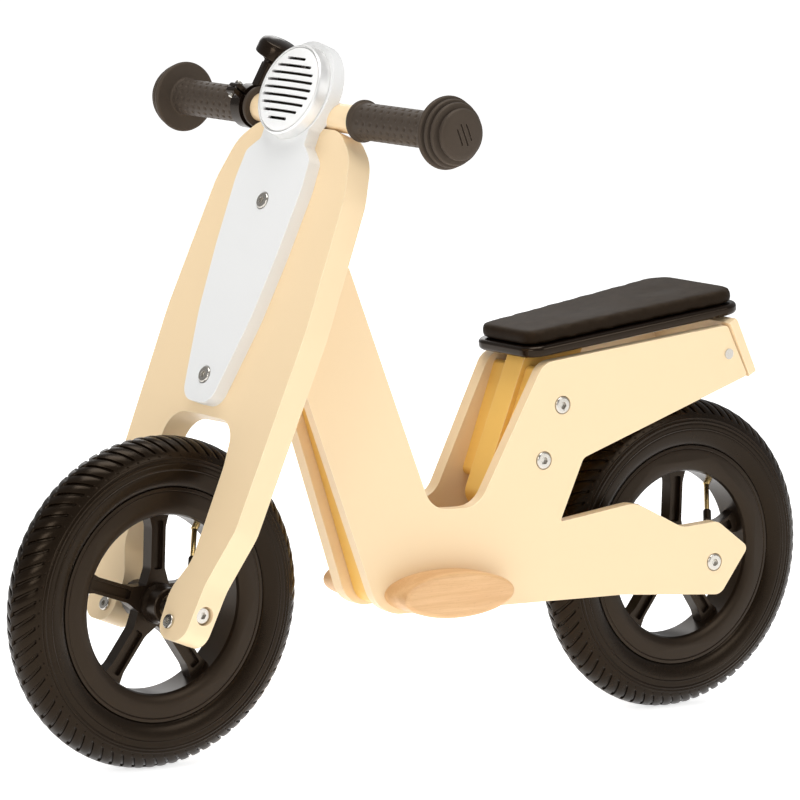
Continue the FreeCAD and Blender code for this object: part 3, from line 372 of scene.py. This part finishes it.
def black_rubber(name, colour, roughness, grain_size, dusty):
    """Moulded rubber: fine grain, paler where it is rubbed and where dust settles."""
    material, shader = warm_surface(name, colour, roughness, 0.20)
    drift = place_group(material, SHADE_DRIFT, Size=0.03, Amount=0.25)
    wear = place_group(material, EDGE_WEAR, Reach=0.0009, Breakup=0.004)
    dust = place_group(material, SETTLED_DUST, Amount=dusty)
    relief = place_group(material, FINE_RELIEF, Size=grain_size, Detail=4.0)
    body = shaded(material, colour, drift.outputs["Shade"])
    rubbed = tuple(min(1.0, part * 2.2) for part in colour)
    edged = mixed_colour(material, wear.outputs["Mask"], body, rubbed)
    colour_to(material, shader, mixed_colour(material, dust.outputs["Mask"], edged,
                                             (0.30, 0.26, 0.22)))
    vary_roughness(material, shader, drift.outputs["Shade"], roughness, 0.5)
    bump(material, shader, relief.outputs["Height"], 0.35, 0.00018)
    return material


def moulded_plastic(name, colour, roughness, relief_depth, shine=0.5):
    """Moulded plastic with a faint spark-eroded texture."""
    material, shader = warm_surface(name, colour, roughness, shine)
    drift = place_group(material, SHADE_DRIFT, Size=0.025, Amount=0.15)
    wear = place_group(material, EDGE_WEAR, Reach=0.0008, Breakup=0.004)
    relief = place_group(material, FINE_RELIEF, Size=0.0007, Detail=3.0)
    body = shaded(material, colour, drift.outputs["Shade"])
    worn = tuple(min(1.0, part * 1.6) for part in colour)
    colour_to(material, shader, mixed_colour(material, wear.outputs["Mask"], body, worn))
    vary_roughness(material, shader, drift.outputs["Shade"], roughness, 0.6)
    bump(material, shader, relief.outputs["Height"], 0.3, relief_depth)
    return material


def pressed_foam():
    """Closed-cell seat foam with a matt skin of fine pores."""
    skin = (0.0070, 0.0036, 0.0016)
    material, shader = warm_surface("seat_foam_skin", skin, 0.58, 0.14)
    drift = place_group(material, SHADE_DRIFT, Size=0.06, Amount=0.22)
    pores = place_group(material, FINE_RELIEF, Size=0.0009, Detail=5.0)
    dust = place_group(material, SETTLED_DUST, Amount=0.30)
    body = shaded(material, skin, drift.outputs["Shade"])
    colour_to(material, shader, mixed_colour(material, dust.outputs["Mask"], body,
                                             (0.16, 0.12, 0.085)))
    vary_roughness(material, shader, drift.outputs["Shade"], 0.58, 0.4)
    bump(material, shader, pores.outputs["Height"], 0.5, 0.00025)
    return material


def bright_metal(name, colour, roughness, scratch):
    """Plated or turned metal with fine hairlines and slight tarnish."""
    material, shader = plain_material(name, colour, roughness, 1.0)
    drift = place_group(material, SHADE_DRIFT, Size=0.012, Amount=0.18)
    relief = place_group(material, FINE_RELIEF, Size=0.0006, Detail=4.0)
    colour_to(material, shader, shaded(material, colour, drift.outputs["Shade"]))
    vary_roughness(material, shader, drift.outputs["Shade"], roughness, 0.8)
    bump(material, shader, relief.outputs["Height"], scratch, 0.00008)
    return material


MATERIALS = {
    "cream_paint": satin_lacquer("cream_lacquer", (0.855, 0.655, 0.405), (0.90, 0.74, 0.50)),
    "white_paint": satin_lacquer("white_lacquer", (0.775, 0.775, 0.765), (0.85, 0.845, 0.83)),
    "beech": oiled_beech(),
    "tyre_rubber": black_rubber("tyre_tread_rubber", (0.0058, 0.0032, 0.0016), 0.26, 0.0009, 0.02),
    "tube_rubber": black_rubber("butyl_tube_rubber", (0.018, 0.017, 0.017), 0.55, 0.0012, 0.02),
    "grip_rubber": black_rubber("soft_grip_rubber", (0.052, 0.040, 0.031), 0.50, 0.0006, 0.12),
    "seat_foam": pressed_foam(),
    "black_plastic": moulded_plastic("moulded_black_plastic", (0.0095, 0.0058, 0.0036), 0.32,
                                     0.0001, 0.28),
    "gloss_black": moulded_plastic("gloss_black_plastic", (0.0060, 0.0036, 0.0026), 0.20,
                                   0.00003, 0.28),
    "silver_plastic": moulded_plastic("silver_sprayed_plastic", (0.86, 0.86, 0.85), 0.34, 0.00003),
    "chrome": bright_metal("satin_silver_plate", (0.84, 0.835, 0.82), 0.50, 0.2),
    "zinc": bright_metal("bright_zinc_plate", (0.56, 0.53, 0.48), 0.24, 0.25),
    "brass": bright_metal("turned_brass", (0.78, 0.56, 0.24), 0.28, 0.2),
    "nylon": moulded_plastic("natural_nylon", (0.62, 0.60, 0.54), 0.45, 0.0001),
}
# Shaded copy of the cream lacquer, deeper and more orange: painted shade for the warm light bounced
# between the side panels, not a different paint on these boards.
SHADED_INNER_CREAM = satin_lacquer("painted_shade_cream_lacquer", (0.86, 0.53, 0.125), (0.90, 0.66, 0.34))
INNER_BOARDS = ("leg_shield_board", "bottom_board", "seat_spacers", "seat_post")


# ---- mesh building tools ---------------------------------------------------
def add_piece(name, mesh, slot, body, *stands_for):
    piece = bpy.data.objects.new(name, mesh)
    bpy.context.scene.collection.objects.link(piece)
    mesh.materials.clear()
    mesh.materials.append(MATERIALS[slot])
    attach(piece, body)
    if stands_for:
        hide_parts(*stands_for)
    return piece


def smooth(mesh):
    mesh.polygons.foreach_set("use_smooth", [True] * len(mesh.polygons))
    mesh.update()


def plain_copy(node, name):
    """A node's own form as a fresh mesh with its triangles merged into flat faces."""
    source = NODES[node].data
    work = bmesh.new()
    work.from_mesh(source)
    bmesh.ops.remove_doubles(work, verts=work.verts, dist=2e-6)
    bmesh.ops.dissolve_limit(work, angle_limit=math.radians(0.4), verts=work.verts,
                             edges=work.edges)
    places = [vertex.co[:] for vertex in work.verts]
    work.verts.index_update()
    faces = [[vertex.index for vertex in face.verts] for face in work.faces]
    work.free()
    mesh = bpy.data.meshes.new(name)
    mesh.from_pydata(places, [], faces)
    smooth(mesh)
    return mesh


def ease_edges(piece, width, steps=3, sharp=28):
    """Round over every edge sharper than the given angle, as a router or a mould does."""
    rounding = piece.modifiers.new("eased_edges", "BEVEL")
    rounding.width, rounding.segments = width, steps
    rounding.limit_method, rounding.angle_limit = "ANGLE", math.radians(sharp)
    rounding.harden_normals = True
    rounding.miter_outer = "MITER_ARC"


def eased(node, width, steps=3, sharp=28):
    """Piece that stands for one node: the same form with its edges eased."""
    mesh = plain_copy(node, node + "_eased")
    piece = add_piece(node + "_eased", mesh, SLOT_OF_NODE[node], BODY_OF_NODE[node], node)
    ease_edges(piece, width, steps, sharp)
    return piece


def turned(profile, steps, place, closed=True):
    """Round piece from (radius, along) points, turned about the place's Y axis."""
    work = bmesh.new()
    rings = []
    for radius, along in profile:
        if radius < 1e-7:
            rings.append([work.verts.new(place @ Vector((0, along, 0)))])
            continue
        ring = []
        for step in range(steps):
            angle = 2 * math.pi * step / steps
            ring.append(work.verts.new(place @ Vector((radius * math.cos(angle), along,
                                                       radius * math.sin(angle)))))
        rings.append(ring)
    pairs = list(zip(rings, rings[1:] + rings[:1])) if closed else list(zip(rings, rings[1:]))
    for first, second in pairs:
        join_rings(work, first, second, steps)
    bmesh.ops.recalc_face_normals(work, faces=work.faces)
    return work


def join_rings(work, first, second, steps):
    if len(first) == 1 and len(second) == 1:
        return
    for step in range(steps):
        after = (step + 1) % steps
        if len(first) == 1:
            work.faces.new((first[0], second[step], second[after]))
        elif len(second) == 1:
            work.faces.new((first[step], second[0], first[after]))
        else:
            work.faces.new((first[step], second[step], second[after], first[after]))


def rounded_profile(points, steps=4):
    """(radius, along, rounding) corners with each corner replaced by a short curve."""
    made = []
    count = len(points)
    for index, (radius, along, rounding) in enumerate(points):
        here = Vector((radius, along))
        if rounding <= 0:
            made.append(tuple(here))
            continue
        before = Vector(points[index - 1][:2]) - here
        after = Vector(points[(index + 1) % count][:2]) - here
        reach = min(rounding, before.length * 0.49, after.length * 0.49)
        start = here + before.normalized() * reach
        stop = here + after.normalized() * reach
        for step in range(steps + 1):
            t = step / steps
            spot = start * (1 - t) ** 2 + here * 2 * t * (1 - t) + stop * t ** 2
            made.append(tuple(spot))
    return made


def to_mesh(work, name):
    mesh = bpy.data.meshes.new(name)
    work.to_mesh(mesh)
    work.free()
    smooth(mesh)
    return mesh


def middle_of(node):
    low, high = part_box(node)
    return (low + high) / 2


# ---- wheels ----------------------------------------------------------------
TREAD_PITCHES = 74
COLUMNS = (0.0, 0.095, 0.15, 0.31, 0.50, 0.69, 0.85, 0.905)     # across one rib, groove at zero
RIB_HEIGHTS = (0.0, 0.10, 0.90, 1.0, 1.06, 1.0, 0.90, 0.10)
SHIFTED = tuple((COLUMNS[(k + 4) % 8] + (0.5 if k < 4 else 1.5) - 1.0) % 1.0 for k in range(8))
TREAD_EDGE, SHOULDER_DOT = 61.0, 68.0       # degrees round the section from the crown
GROOVE_DEPTH = 2.6 * MM
RIB_CROWN = max(RIB_HEIGHTS)
SHOULDER_DOT_DEPTH = 1.1 * MM
ZIGZAG = 1.1 * MM                           # sideways swing of the groove along the crown
SWEEP_TURN, SWEEP_STOP = 62.0, 75.0         # where the sweep is whole, and where it stops growing
GROOVE_SWEEP = 16.0 * MM
CROWN_RADIUS = 149.0 * MM
SECTION_HALF = 23.75 * MM
BEAD_RADIUS, BEAD_HALF = 105.5 * MM, 17.6 * MM
HIDDEN_RADIUS, HIDDEN_HALF = 103.0 * MM, 15.0 * MM      # inside the rim, out of sight


def tyre_section(turn):
    """(radius, half width) of the casing at an angle round its section from the crown."""
    centre = CROWN_RADIUS - SECTION_HALF
    if turn <= 90:
        angle = math.radians(turn)
        return centre + SECTION_HALF * math.cos(angle), SECTION_HALF * math.sin(angle)
    share = (turn - 90) / 60
    radius = centre + (BEAD_RADIUS - centre) * share
    return radius, BEAD_HALF + (SECTION_HALF - BEAD_HALF) * math.sqrt(max(0.0, 1 - share ** 2.2))


def groove_depth(turn):
    """How deep the tread is cut at an angle round the section: full depth, then run out."""
    rise = min(1.0, max(0.0, (turn - 1.5) / 4.0))
    fade = min(1.0, max(0.0, (TREAD_EDGE - turn) / 4.0))
    return GROOVE_DEPTH * rise * fade


SIDE_LINES = {74.0: 0.35 * MM, 78.0: -0.35 * MM, 82.0: 0.30 * MM, 86.0: -0.25 * MM,
              101.0: 0.25 * MM, 104.0: -0.20 * MM}
SECTION_TURNS = (0, 2.2, 5, 9, 14, 20, 26, 32, 38, 44, 50, 54, 57.5, 61, 64.5, 66.5, 68, 69.5, 71.5,
                 73.2, 74.0, 75.2, 77.0, 78.0, 79.2, 81, 82.0, 83.2, 85, 86.0, 87.5, 92, 97,
                 100, 101, 102.5, 104, 106, 112, 120, 128, 136, 143, 148, 150)


def tread_column(side, index, turn):
    """(share of a pitch, depth below the rib's crown) for one column of points."""
    own = COLUMNS if side > 0 else SHIFTED
    other = SHIFTED if side > 0 else COLUMNS
    merge = min(1.0, turn / 5.0)
    share = own[index] * (0.5 + 0.5 * merge) + other[index] * (0.5 - 0.5 * merge)
    heights = RIB_HEIGHTS if side > 0 else RIB_HEIGHTS[4:] + RIB_HEIGHTS[:4]
    cut = (RIB_CROWN - heights[index]) * groove_depth(turn)
    groove_column = 0 if side > 0 else 4
    if turn == SHOULDER_DOT and index == groove_column:
        cut += SHOULDER_DOT_DEPTH
    return share, cut


def tyre_mesh(name, centre):
    """Casing with a herringbone of curved ribs, a dot at each rib's end and fine side lines."""
    work = bmesh.new()
    columns = len(COLUMNS)
    rows = [(-1, turn) for turn in reversed(SECTION_TURNS[1:])] + [(1, turn) for turn in SECTION_TURNS]
    grid = []
    for side, turn in rows:
        radius, half = tyre_section(turn)
        outward = math.radians(min(turn, 90))
        lift = SIDE_LINES.get(turn, 0.0)
        swept = min(turn, SWEEP_STOP)
        sweep = GROOVE_SWEEP * swept / SWEEP_TURN * (0.75 + 0.25 * swept / SWEEP_TURN)
        ring = []
        for pitch in range(TREAD_PITCHES):
            for index in range(columns):
                share, cut = tread_column(side, index, turn)
                angle = 2 * math.pi * (pitch + share) / TREAD_PITCHES + sweep / CROWN_RADIUS
                zigzag = ZIGZAG * math.sin(2 * math.pi * share) * max(0.0, 1 - turn / 9)
                r = radius - (cut - min(lift, 0)) * math.cos(outward)
                y = side * (half - (cut - lift) * math.sin(outward)) + zigzag
                ring.append(work.verts.new(centre + Vector((r * math.cos(angle), y,
                                                            r * math.sin(angle)))))
        grid.append(ring)
    inner = []
    for y in (HIDDEN_HALF, -HIDDEN_HALF):
        ring = []
        for vertex in grid[-1]:
            around = vertex.co - centre
            angle = math.atan2(around.z, around.x)
            ring.append(work.verts.new(centre + Vector((HIDDEN_RADIUS * math.cos(angle), y,
                                                        HIDDEN_RADIUS * math.sin(angle)))))
        inner.append(ring)
    grid += inner
    for first, second in zip(grid, grid[1:] + grid[:1]):
        join_rings(work, first, second, TREAD_PITCHES * columns)
    bmesh.ops.recalc_face_normals(work, faces=work.faces)
    return to_mesh(work, name)


def make_wheel(prefix, body):
    centre = middle_of(prefix + "_tyre")
    tyre = add_piece(prefix + "_tyre_treaded", tyre_mesh(prefix + "_tyre_treaded", centre),
                     "tyre_rubber", body, prefix + "_tyre")
    keep_creases(tyre, 38)
    eased(prefix + "_rim", 1.1 * MM, 3, 25)
    eased(prefix + "_valve", 0.3 * MM, 2)
    eased(prefix + "_valve_cap", 0.6 * MM, 2)


def keep_creases(piece, sharp):
    """Shade softly but keep edges sharper than the given angle crisp."""
    mesh = piece.data
    work = bmesh.new()
    work.from_mesh(mesh)
    for edge in work.edges:
        if len(edge.link_faces) == 2 and edge.calc_face_angle(0.0) > math.radians(sharp):
            edge.smooth = False
    work.to_mesh(mesh)
    work.free()


# ---- handlebar grips -------------------------------------------------------
GRIP_RADIUS = 16.5 * MM
DOT_ROWS, DOT_PITCH = 16, 10.0 * MM
DOT_RADIUS, DOT_DEPTH = 1.95 * MM, 1.2 * MM
FIRST_DOT, LAST_DOT = 13.0 * MM, 117.0 * MM             # room for the dots, from the inner end
SLEEVE_START, SLEEVE_END = 8.0 * MM, 118.0 * MM
SLEEVE_STEPS, SLEEVE_ROWS = 128, 132
BORE_END = 141.5


def grip_profile():
    """(radius, along, rounding) from the open inner end out to the domed end."""
    return [(13.2, 0.0, 0.0), (18.2, 0.0, 0.8), (19.0, 0.8, 0.8), (19.0, 3.4, 0.8),
            (17.2, 4.6, 0.8), (16.5, 6.5, 0.0), (16.5, 119.5, 0.8), (18.0, 120.8, 0.8),
            (31.2, 121.1, 1.2), (32.5, 123.1, 1.4), (31.6, 126.1, 1.2), (27.4, 126.7, 0.6),
            (27.4, 128.2, 0.6), (29.2, 128.4, 1.0), (30.2, 130.1, 1.2), (29.4, 132.4, 1.0),
            (25.4, 132.7, 0.5), (25.4, 134.0, 0.5), (26.8, 134.3, 0.9), (27.6, 135.9, 1.0),
            (26.6, 138.2, 0.9), (20.6, 138.9, 0.6), (21.2, 140.1, 0.6), (22.6, 141.6, 1.0),
            (22.8, 143.2, 1.2), (22.0, 145.2, 1.4), (18.5, 146.6, 1.6), (12.0, 147.5, 2.0),
            (6.0, 147.95, 1.0), (0.0, 148.0, 0.0)]


def grip_mesh(name, place):
    outline = rounded_profile([(r * MM, a * MM, c * MM) for r, a, c in grip_profile()], 4)
    sleeve_start = outline.index(min(outline, key=lambda p: abs(p[1] - 6.5 * MM)))
    outline = outline[:sleeve_start + 1] + sleeve_rows() + outline[sleeve_start + 1:]
    bore = [(0.0, BORE_END * MM), (13.2 * MM, BORE_END * MM)]
    work = turned(outline + bore, SLEEVE_STEPS, Matrix.Identity(4))
    for vertex in work.verts:
        if 8 * MM < vertex.co.y < 118.5 * MM and math.hypot(vertex.co.x, vertex.co.z) > 15 * MM:
            press_dot(vertex)
    bmesh.ops.transform(work, matrix=place, verts=work.verts)
    bmesh.ops.recalc_face_normals(work, faces=work.faces)
    return to_mesh(work, name)


def sleeve_rows():
    """Close rings along the sleeve, fine enough to carry the pressed dots."""
    length = SLEEVE_END - SLEEVE_START
    return [(GRIP_RADIUS, SLEEVE_START + length * row / SLEEVE_ROWS) for row in range(SLEEVE_ROWS + 1)]


def press_dot(vertex):
    """Sink a sleeve point that lies within one of the staggered rows of dots."""
    angle = math.atan2(vertex.co.z, vertex.co.x) / (2 * math.pi) * DOT_ROWS
    row = round(angle)
    stagger = 0.5 * DOT_PITCH if row % 2 else 0.0
    along = (vertex.co.y - FIRST_DOT - stagger) / DOT_PITCH
    if not -0.2 < along < (LAST_DOT - FIRST_DOT) / DOT_PITCH:
        return
    aside = (angle - row) * 2 * math.pi * GRIP_RADIUS / DOT_ROWS
    off = math.hypot(aside, (along - round(along)) * DOT_PITCH)
    if off < DOT_RADIUS:
        sink = DOT_DEPTH * math.cos(off / DOT_RADIUS * math.pi / 2) ** 0.7
        radius = math.hypot(vertex.co.x, vertex.co.z)
        vertex.co.x *= (radius - sink) / radius
        vertex.co.z *= (radius - sink) / radius


def make_grip(node, side):
    low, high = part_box(node)
    inner = low.y if side > 0 else high.y
    middle = (low + high) / 2
    place = Matrix.Translation((middle.x, inner, middle.z)) @ Matrix.Diagonal((1, side, 1, 1))
    piece = add_piece(node + "_moulded", grip_mesh(node + "_moulded", place), "grip_rubber",
                      BODY_OF_NODE[node], node)
    cut_end_grooves(piece, place)
    keep_creases(piece, 50)
    return piece


def cut_end_grooves(piece, place):
    """Three short slanted grooves across the domed end."""
    work = bmesh.new()
    for index, reach in ((-1, 8.0 * MM), (0, 10.5 * MM), (1, 8.0 * MM)):
        groove = bmesh.ops.create_cube(work, size=1.0)["verts"]
        shape = Matrix.Diagonal((1.7 * MM, 4.4 * MM, 2 * reach, 1))
        turn = Matrix.Rotation(math.radians(24), 4, "Y")
        spot = Matrix.Translation((index * 5.2 * MM, 148.6 * MM, 0))
        bmesh.ops.transform(work, matrix=place @ turn @ spot @ shape, verts=groove)
    bmesh.ops.recalc_face_normals(work, faces=work.faces)
    tool = bpy.data.objects.new("groove_tool", to_mesh(work, "groove_tool"))
    bpy.context.scene.collection.objects.link(tool)
    cut_away(piece, tool)


def cut_away(piece, tool):
    """Take the tool's shape out of the piece, then put the tool away."""
    cut = piece.modifiers.new("cut", "BOOLEAN")
    cut.operation, cut.solver, cut.object = "DIFFERENCE", "EXACT", tool
    bpy.context.view_layer.update()
    result = bpy.data.meshes.new_from_object(
        piece.evaluated_get(bpy.context.evaluated_depsgraph_get()))
    piece.modifiers.remove(cut)
    slot_material = piece.data.materials[0]
    piece.data = result
    result.materials.clear()
    result.materials.append(slot_material)
    smooth(result)
    bpy.data.objects.remove(tool)


# ---- saddle ----------------------------------------------------------------
SEAT_SLOPE = 8.3                            # degrees, down to the front
SWELL_FRAMES, SWELL_PRESSURE, SWELL_MOST = 20, 4.0, 1.0 * MM
DIMPLES = (                                 # along, aside, reach along, reach aside, depth
    (-0.068, 0.000, 0.030, 0.026, 1.1 * MM),
    (0.030, 0.0, 0.040, 0.036, 0.5 * MM),
)


def seat_frame():
    """Seat directions: forward down the slope, sideways, and square out of the pad's top."""
    slope = math.radians(SEAT_SLOPE)
    forward = Vector((math.cos(slope), 0, -math.sin(slope)))
    return forward, Vector((0, 1, 0)), forward.cross(Vector((0, 1, 0)))


def make_cushion():
    """Foam pad: evenly meshed, swollen a little under pressure, then dimpled."""
    mesh = plain_copy("seat_pad", "saddle_pad")
    forward, across, outward = seat_frame()
    low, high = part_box("seat_pad")
    middle = (low + high) / 2
    for vertex in mesh.vertices:
        off = vertex.co - middle
        squeeze = 1.0 - 0.9 * MM / max(abs(off.y), 20 * MM)
        vertex.co = middle + forward * off.dot(forward) * 0.992 + across * off.y * squeeze \
            + outward * off.dot(outward) * 0.95
    piece = add_piece("saddle_pad", mesh, "seat_foam", BODY_OF_NODE["seat_pad"], "seat_pad")
    remesh = piece.modifiers.new("even_mesh", "REMESH")
    remesh.mode, remesh.voxel_size = "VOXEL", 3.0 * MM
    bake_modifiers(piece)
    rest = [vertex.co.copy() for vertex in piece.data.vertices]
    swell(piece)
    limit_swelling(piece, rest, SWELL_MOST)
    finish_cushion(piece, forward, across, outward)


def bake_modifiers(piece):
    """Make what the modifiers show the piece's own mesh."""
    bpy.context.view_layer.update()
    result = bpy.data.meshes.new_from_object(
        piece.evaluated_get(bpy.context.evaluated_depsgraph_get()))
    piece.modifiers.clear()
    material = piece.data.materials[0]
    piece.data = result
    result.materials.clear()
    result.materials.append(material)
    smooth(result)


def swell(piece):
    """Let the pad's skin fill out under a little pressure, without weight."""
    skin = piece.modifiers.new("skin", "CLOTH")
    skin.settings.use_pressure = True
    skin.settings.uniform_pressure_force = SWELL_PRESSURE
    skin.settings.effector_weights.gravity = 0.0
    skin.settings.quality = 5
    skin.point_cache.frame_start, skin.point_cache.frame_end = 1, SWELL_FRAMES
    for moment in range(1, SWELL_FRAMES + 1):
        bpy.context.scene.frame_set(moment)
    bake_modifiers(piece)
    bpy.context.scene.frame_set(1)


def limit_swelling(piece, rest, most):
    for vertex, start in zip(piece.data.vertices, rest):
        moved = vertex.co - start
        if moved.length > most:
            vertex.co = start + moved.normalized() * most


def finish_cushion(piece, forward, across, outward):
    """Flat underside, shallow sitting dimples and an even skin, all inside the pad's space."""
    low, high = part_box("seat_pad")
    middle = (low + high) / 2
    heights = [(vertex.co - middle).dot(outward) for vertex in NODES["seat_pad"].data.vertices]
    floor_height, top_height = min(heights), max(heights)
    for vertex in piece.data.vertices:
        off = vertex.co - middle
        along, aside, height = off.dot(forward), off.y, off.dot(outward)
        height = max(height, floor_height + 0.1 * MM)
        height = min(height, top_height)
        for centre_along, centre_aside, reach_along, reach_aside, depth in DIMPLES:
            share = math.hypot((along - centre_along) / reach_along,
                               (aside - centre_aside) / reach_aside)
            if share < 1 and height > 0:
                height -= depth * (0.5 + 0.5 * math.cos(math.pi * share))
        vertex.co = middle + forward * along + across * aside + outward * height
    evened = piece.modifiers.new("even_skin", "SMOOTH")
    evened.factor, evened.iterations = 0.5, 12
    softened = piece.modifiers.new("soft_skin", "SUBSURF")
    softened.levels = softened.render_levels = 1


# ---- lamp ------------------------------------------------------------------
LAMP_LEAN = math.radians(20.8)
LAMP_SLOTS, SLOT_PITCH, SLOT_WIDTH = 9, 7.0 * MM, 2.9 * MM
SLOT_REACH, SLOT_RISE = 35.0 * MM, 30.5 * MM            # half sizes of the oval the slots fill


def lamp_place():
    """Lamp directions with Y along its axis, so turned pieces face forward."""
    low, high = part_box("lamp_ring")
    ahead = Vector((math.cos(LAMP_LEAN), 0, math.sin(LAMP_LEAN)))
    up = Vector((-math.sin(LAMP_LEAN), 0, math.cos(LAMP_LEAN)))
    middle = (low + high) / 2
    back = min((vertex.co - middle).dot(ahead) for vertex in NODES["lamp_ring"].data.vertices)
    turn = Matrix((Vector((0, 1, 0)), ahead, up)).transposed().to_4x4()
    return Matrix.Translation(middle + ahead * back) @ turn


def make_lamp():
    place = lamp_place()
    ring_outline = rounded_profile([(37.0, 0.0, 0.4), (43.1, 0.0, 0.4), (43.5, 0.8, 0.4),
                                    (43.4, 2.2, 0.8), (42.1, 10.4, 1.2), (40.9, 12.0, 0.8),
                                    (39.8, 11.6, 0.4), (39.5, 8.0, 0.4), (37.0, 7.8, 0.4)], 5)
    ring = turned([(r * MM, a * MM) for r, a in ring_outline], 160, place)
    piece = add_piece("lamp_ring_polished", to_mesh(ring, "lamp_ring_polished"), "chrome",
                      BODY_OF_NODE["lamp_ring"], "lamp_ring")
    keep_creases(piece, 60)
    make_lamp_face(place)


def make_lamp_face(place):
    """Domed face with level slots whose ends follow an oval."""
    dome = [(0.0, 15.2), (8.0, 15.1), (16.0, 14.85), (24.0, 14.35), (31.0, 13.6), (36.0, 12.7),
            (38.4, 12.0), (39.3, 11.0), (39.3, 8.2), (35.5, 8.2), (35.5, 10.4), (24.0, 11.9),
            (12.0, 12.5), (0.0, 12.7)]
    face = turned([(r * MM, a * MM) for r, a in dome], 128, place, closed=False)
    piece = add_piece("lamp_grille_domed", to_mesh(face, "lamp_grille_domed"), "silver_plastic",
                      BODY_OF_NODE["lamp_grille"], "lamp_grille")
    work = bmesh.new()
    for index in range(LAMP_SLOTS):
        rise = (index - (LAMP_SLOTS - 1) / 2) * SLOT_PITCH
        half = SLOT_REACH * math.sqrt(1 - (rise / SLOT_RISE) ** 2) - SLOT_WIDTH / 2
        add_slot(work, place, half, rise, SLOT_WIDTH / 2)
    bmesh.ops.recalc_face_normals(work, faces=work.faces)
    tool = bpy.data.objects.new("slot_tool", to_mesh(work, "slot_tool"))
    bpy.context.scene.collection.objects.link(tool)
    cut_away(piece, tool)
    keep_creases(piece, 35)


def add_slot(work, place, half, rise, radius):
    """Round-ended bar right through the lamp's face."""
    outline = []
    for step in range(9):
        angle = -math.pi / 2 + math.pi * step / 8
        outline.append((half + radius * math.cos(angle), rise + radius * math.sin(angle)))
    outline += [(-x, 2 * rise - z) for x, z in outline]
    near = [work.verts.new(place @ Vector((x, 5 * MM, z))) for x, z in outline]
    far = [work.verts.new(place @ Vector((x, 20 * MM, z))) for x, z in outline]
    work.faces.new(near)
    work.faces.new(list(reversed(far)))
    for index in range(len(outline)):
        after = (index + 1) % len(outline)
        work.faces.new((near[index], far[index], far[after], near[after]))


# ---- dressing every node ---------------------------------------------------
BOARDS = {"frame_panel_left": 2.2, "frame_panel_right": 2.2, "leg_shield_board": 1.6,
          "bottom_board": 1.6, "head_block": 1.5, "tail_plate": 1.6, "seat_spacers": 1.0,
          "seat_post": 1.6, "fork_front_plate": 2.4, "shield_plate": 2.6}
HARDWARE = {"tail_bolts": 0.5, "tail_barrel_nuts": 0.5, "seat_clamp_bolts": 0.6,
            "seat_clamp_nuts": 0.5, "rear_axle_bolts": 0.6, "rear_axle_spacers": 0.4,
            "shield_bolts": 0.6, "shield_nuts": 0.5, "steering_bracket_upper": 0.6,
            "steering_bracket_lower": 0.6, "steering_bolt": 0.5, "steering_nut": 0.5,
            "front_axle_bolts": 0.6, "front_axle_spacers": 0.4, "leg_bolts": 0.5,
            "bell_clamp": 0.7, "bell_clamp_screw": 0.4, "bell_arm": 0.8, "bell_cap": 0.9,
            "bell_lever": 1.0, "bell_lever_pin": 0.3, "seat_tray": 0.8, "steering_bushes": 0.4,
            "footrest_left": 0.8, "footrest_right": 0.8, "lamp_backing": 0.4, "handlebar": 0.8}


def dress_remaining_nodes():
    """Every node still shown keeps its own form and gets its finish."""
    for node, piece in NODES.items():
        if node in SLOT_OF_NODE:
            piece.data.materials.clear()
            piece.data.materials.append(MATERIALS[SLOT_OF_NODE[node]])


make_camera()
make_studio()
make_floor()
dress_remaining_nodes()
for board, edge_width in BOARDS.items():
    dressed = eased(board, edge_width * MM)
    # Boards between the panels get the painted-shade copy of the cream lacquer.
    if board in INNER_BOARDS:
        dressed.data.materials[0] = SHADED_INNER_CREAM
for fitting, edge_width in HARDWARE.items():
    eased(fitting, edge_width * MM, 2)
make_wheel("front", "front_wheel")
make_wheel("rear", "rear_wheel")
make_grip("grip_left", 1)
make_grip("grip_right", -1)
make_lamp()
make_cushion()
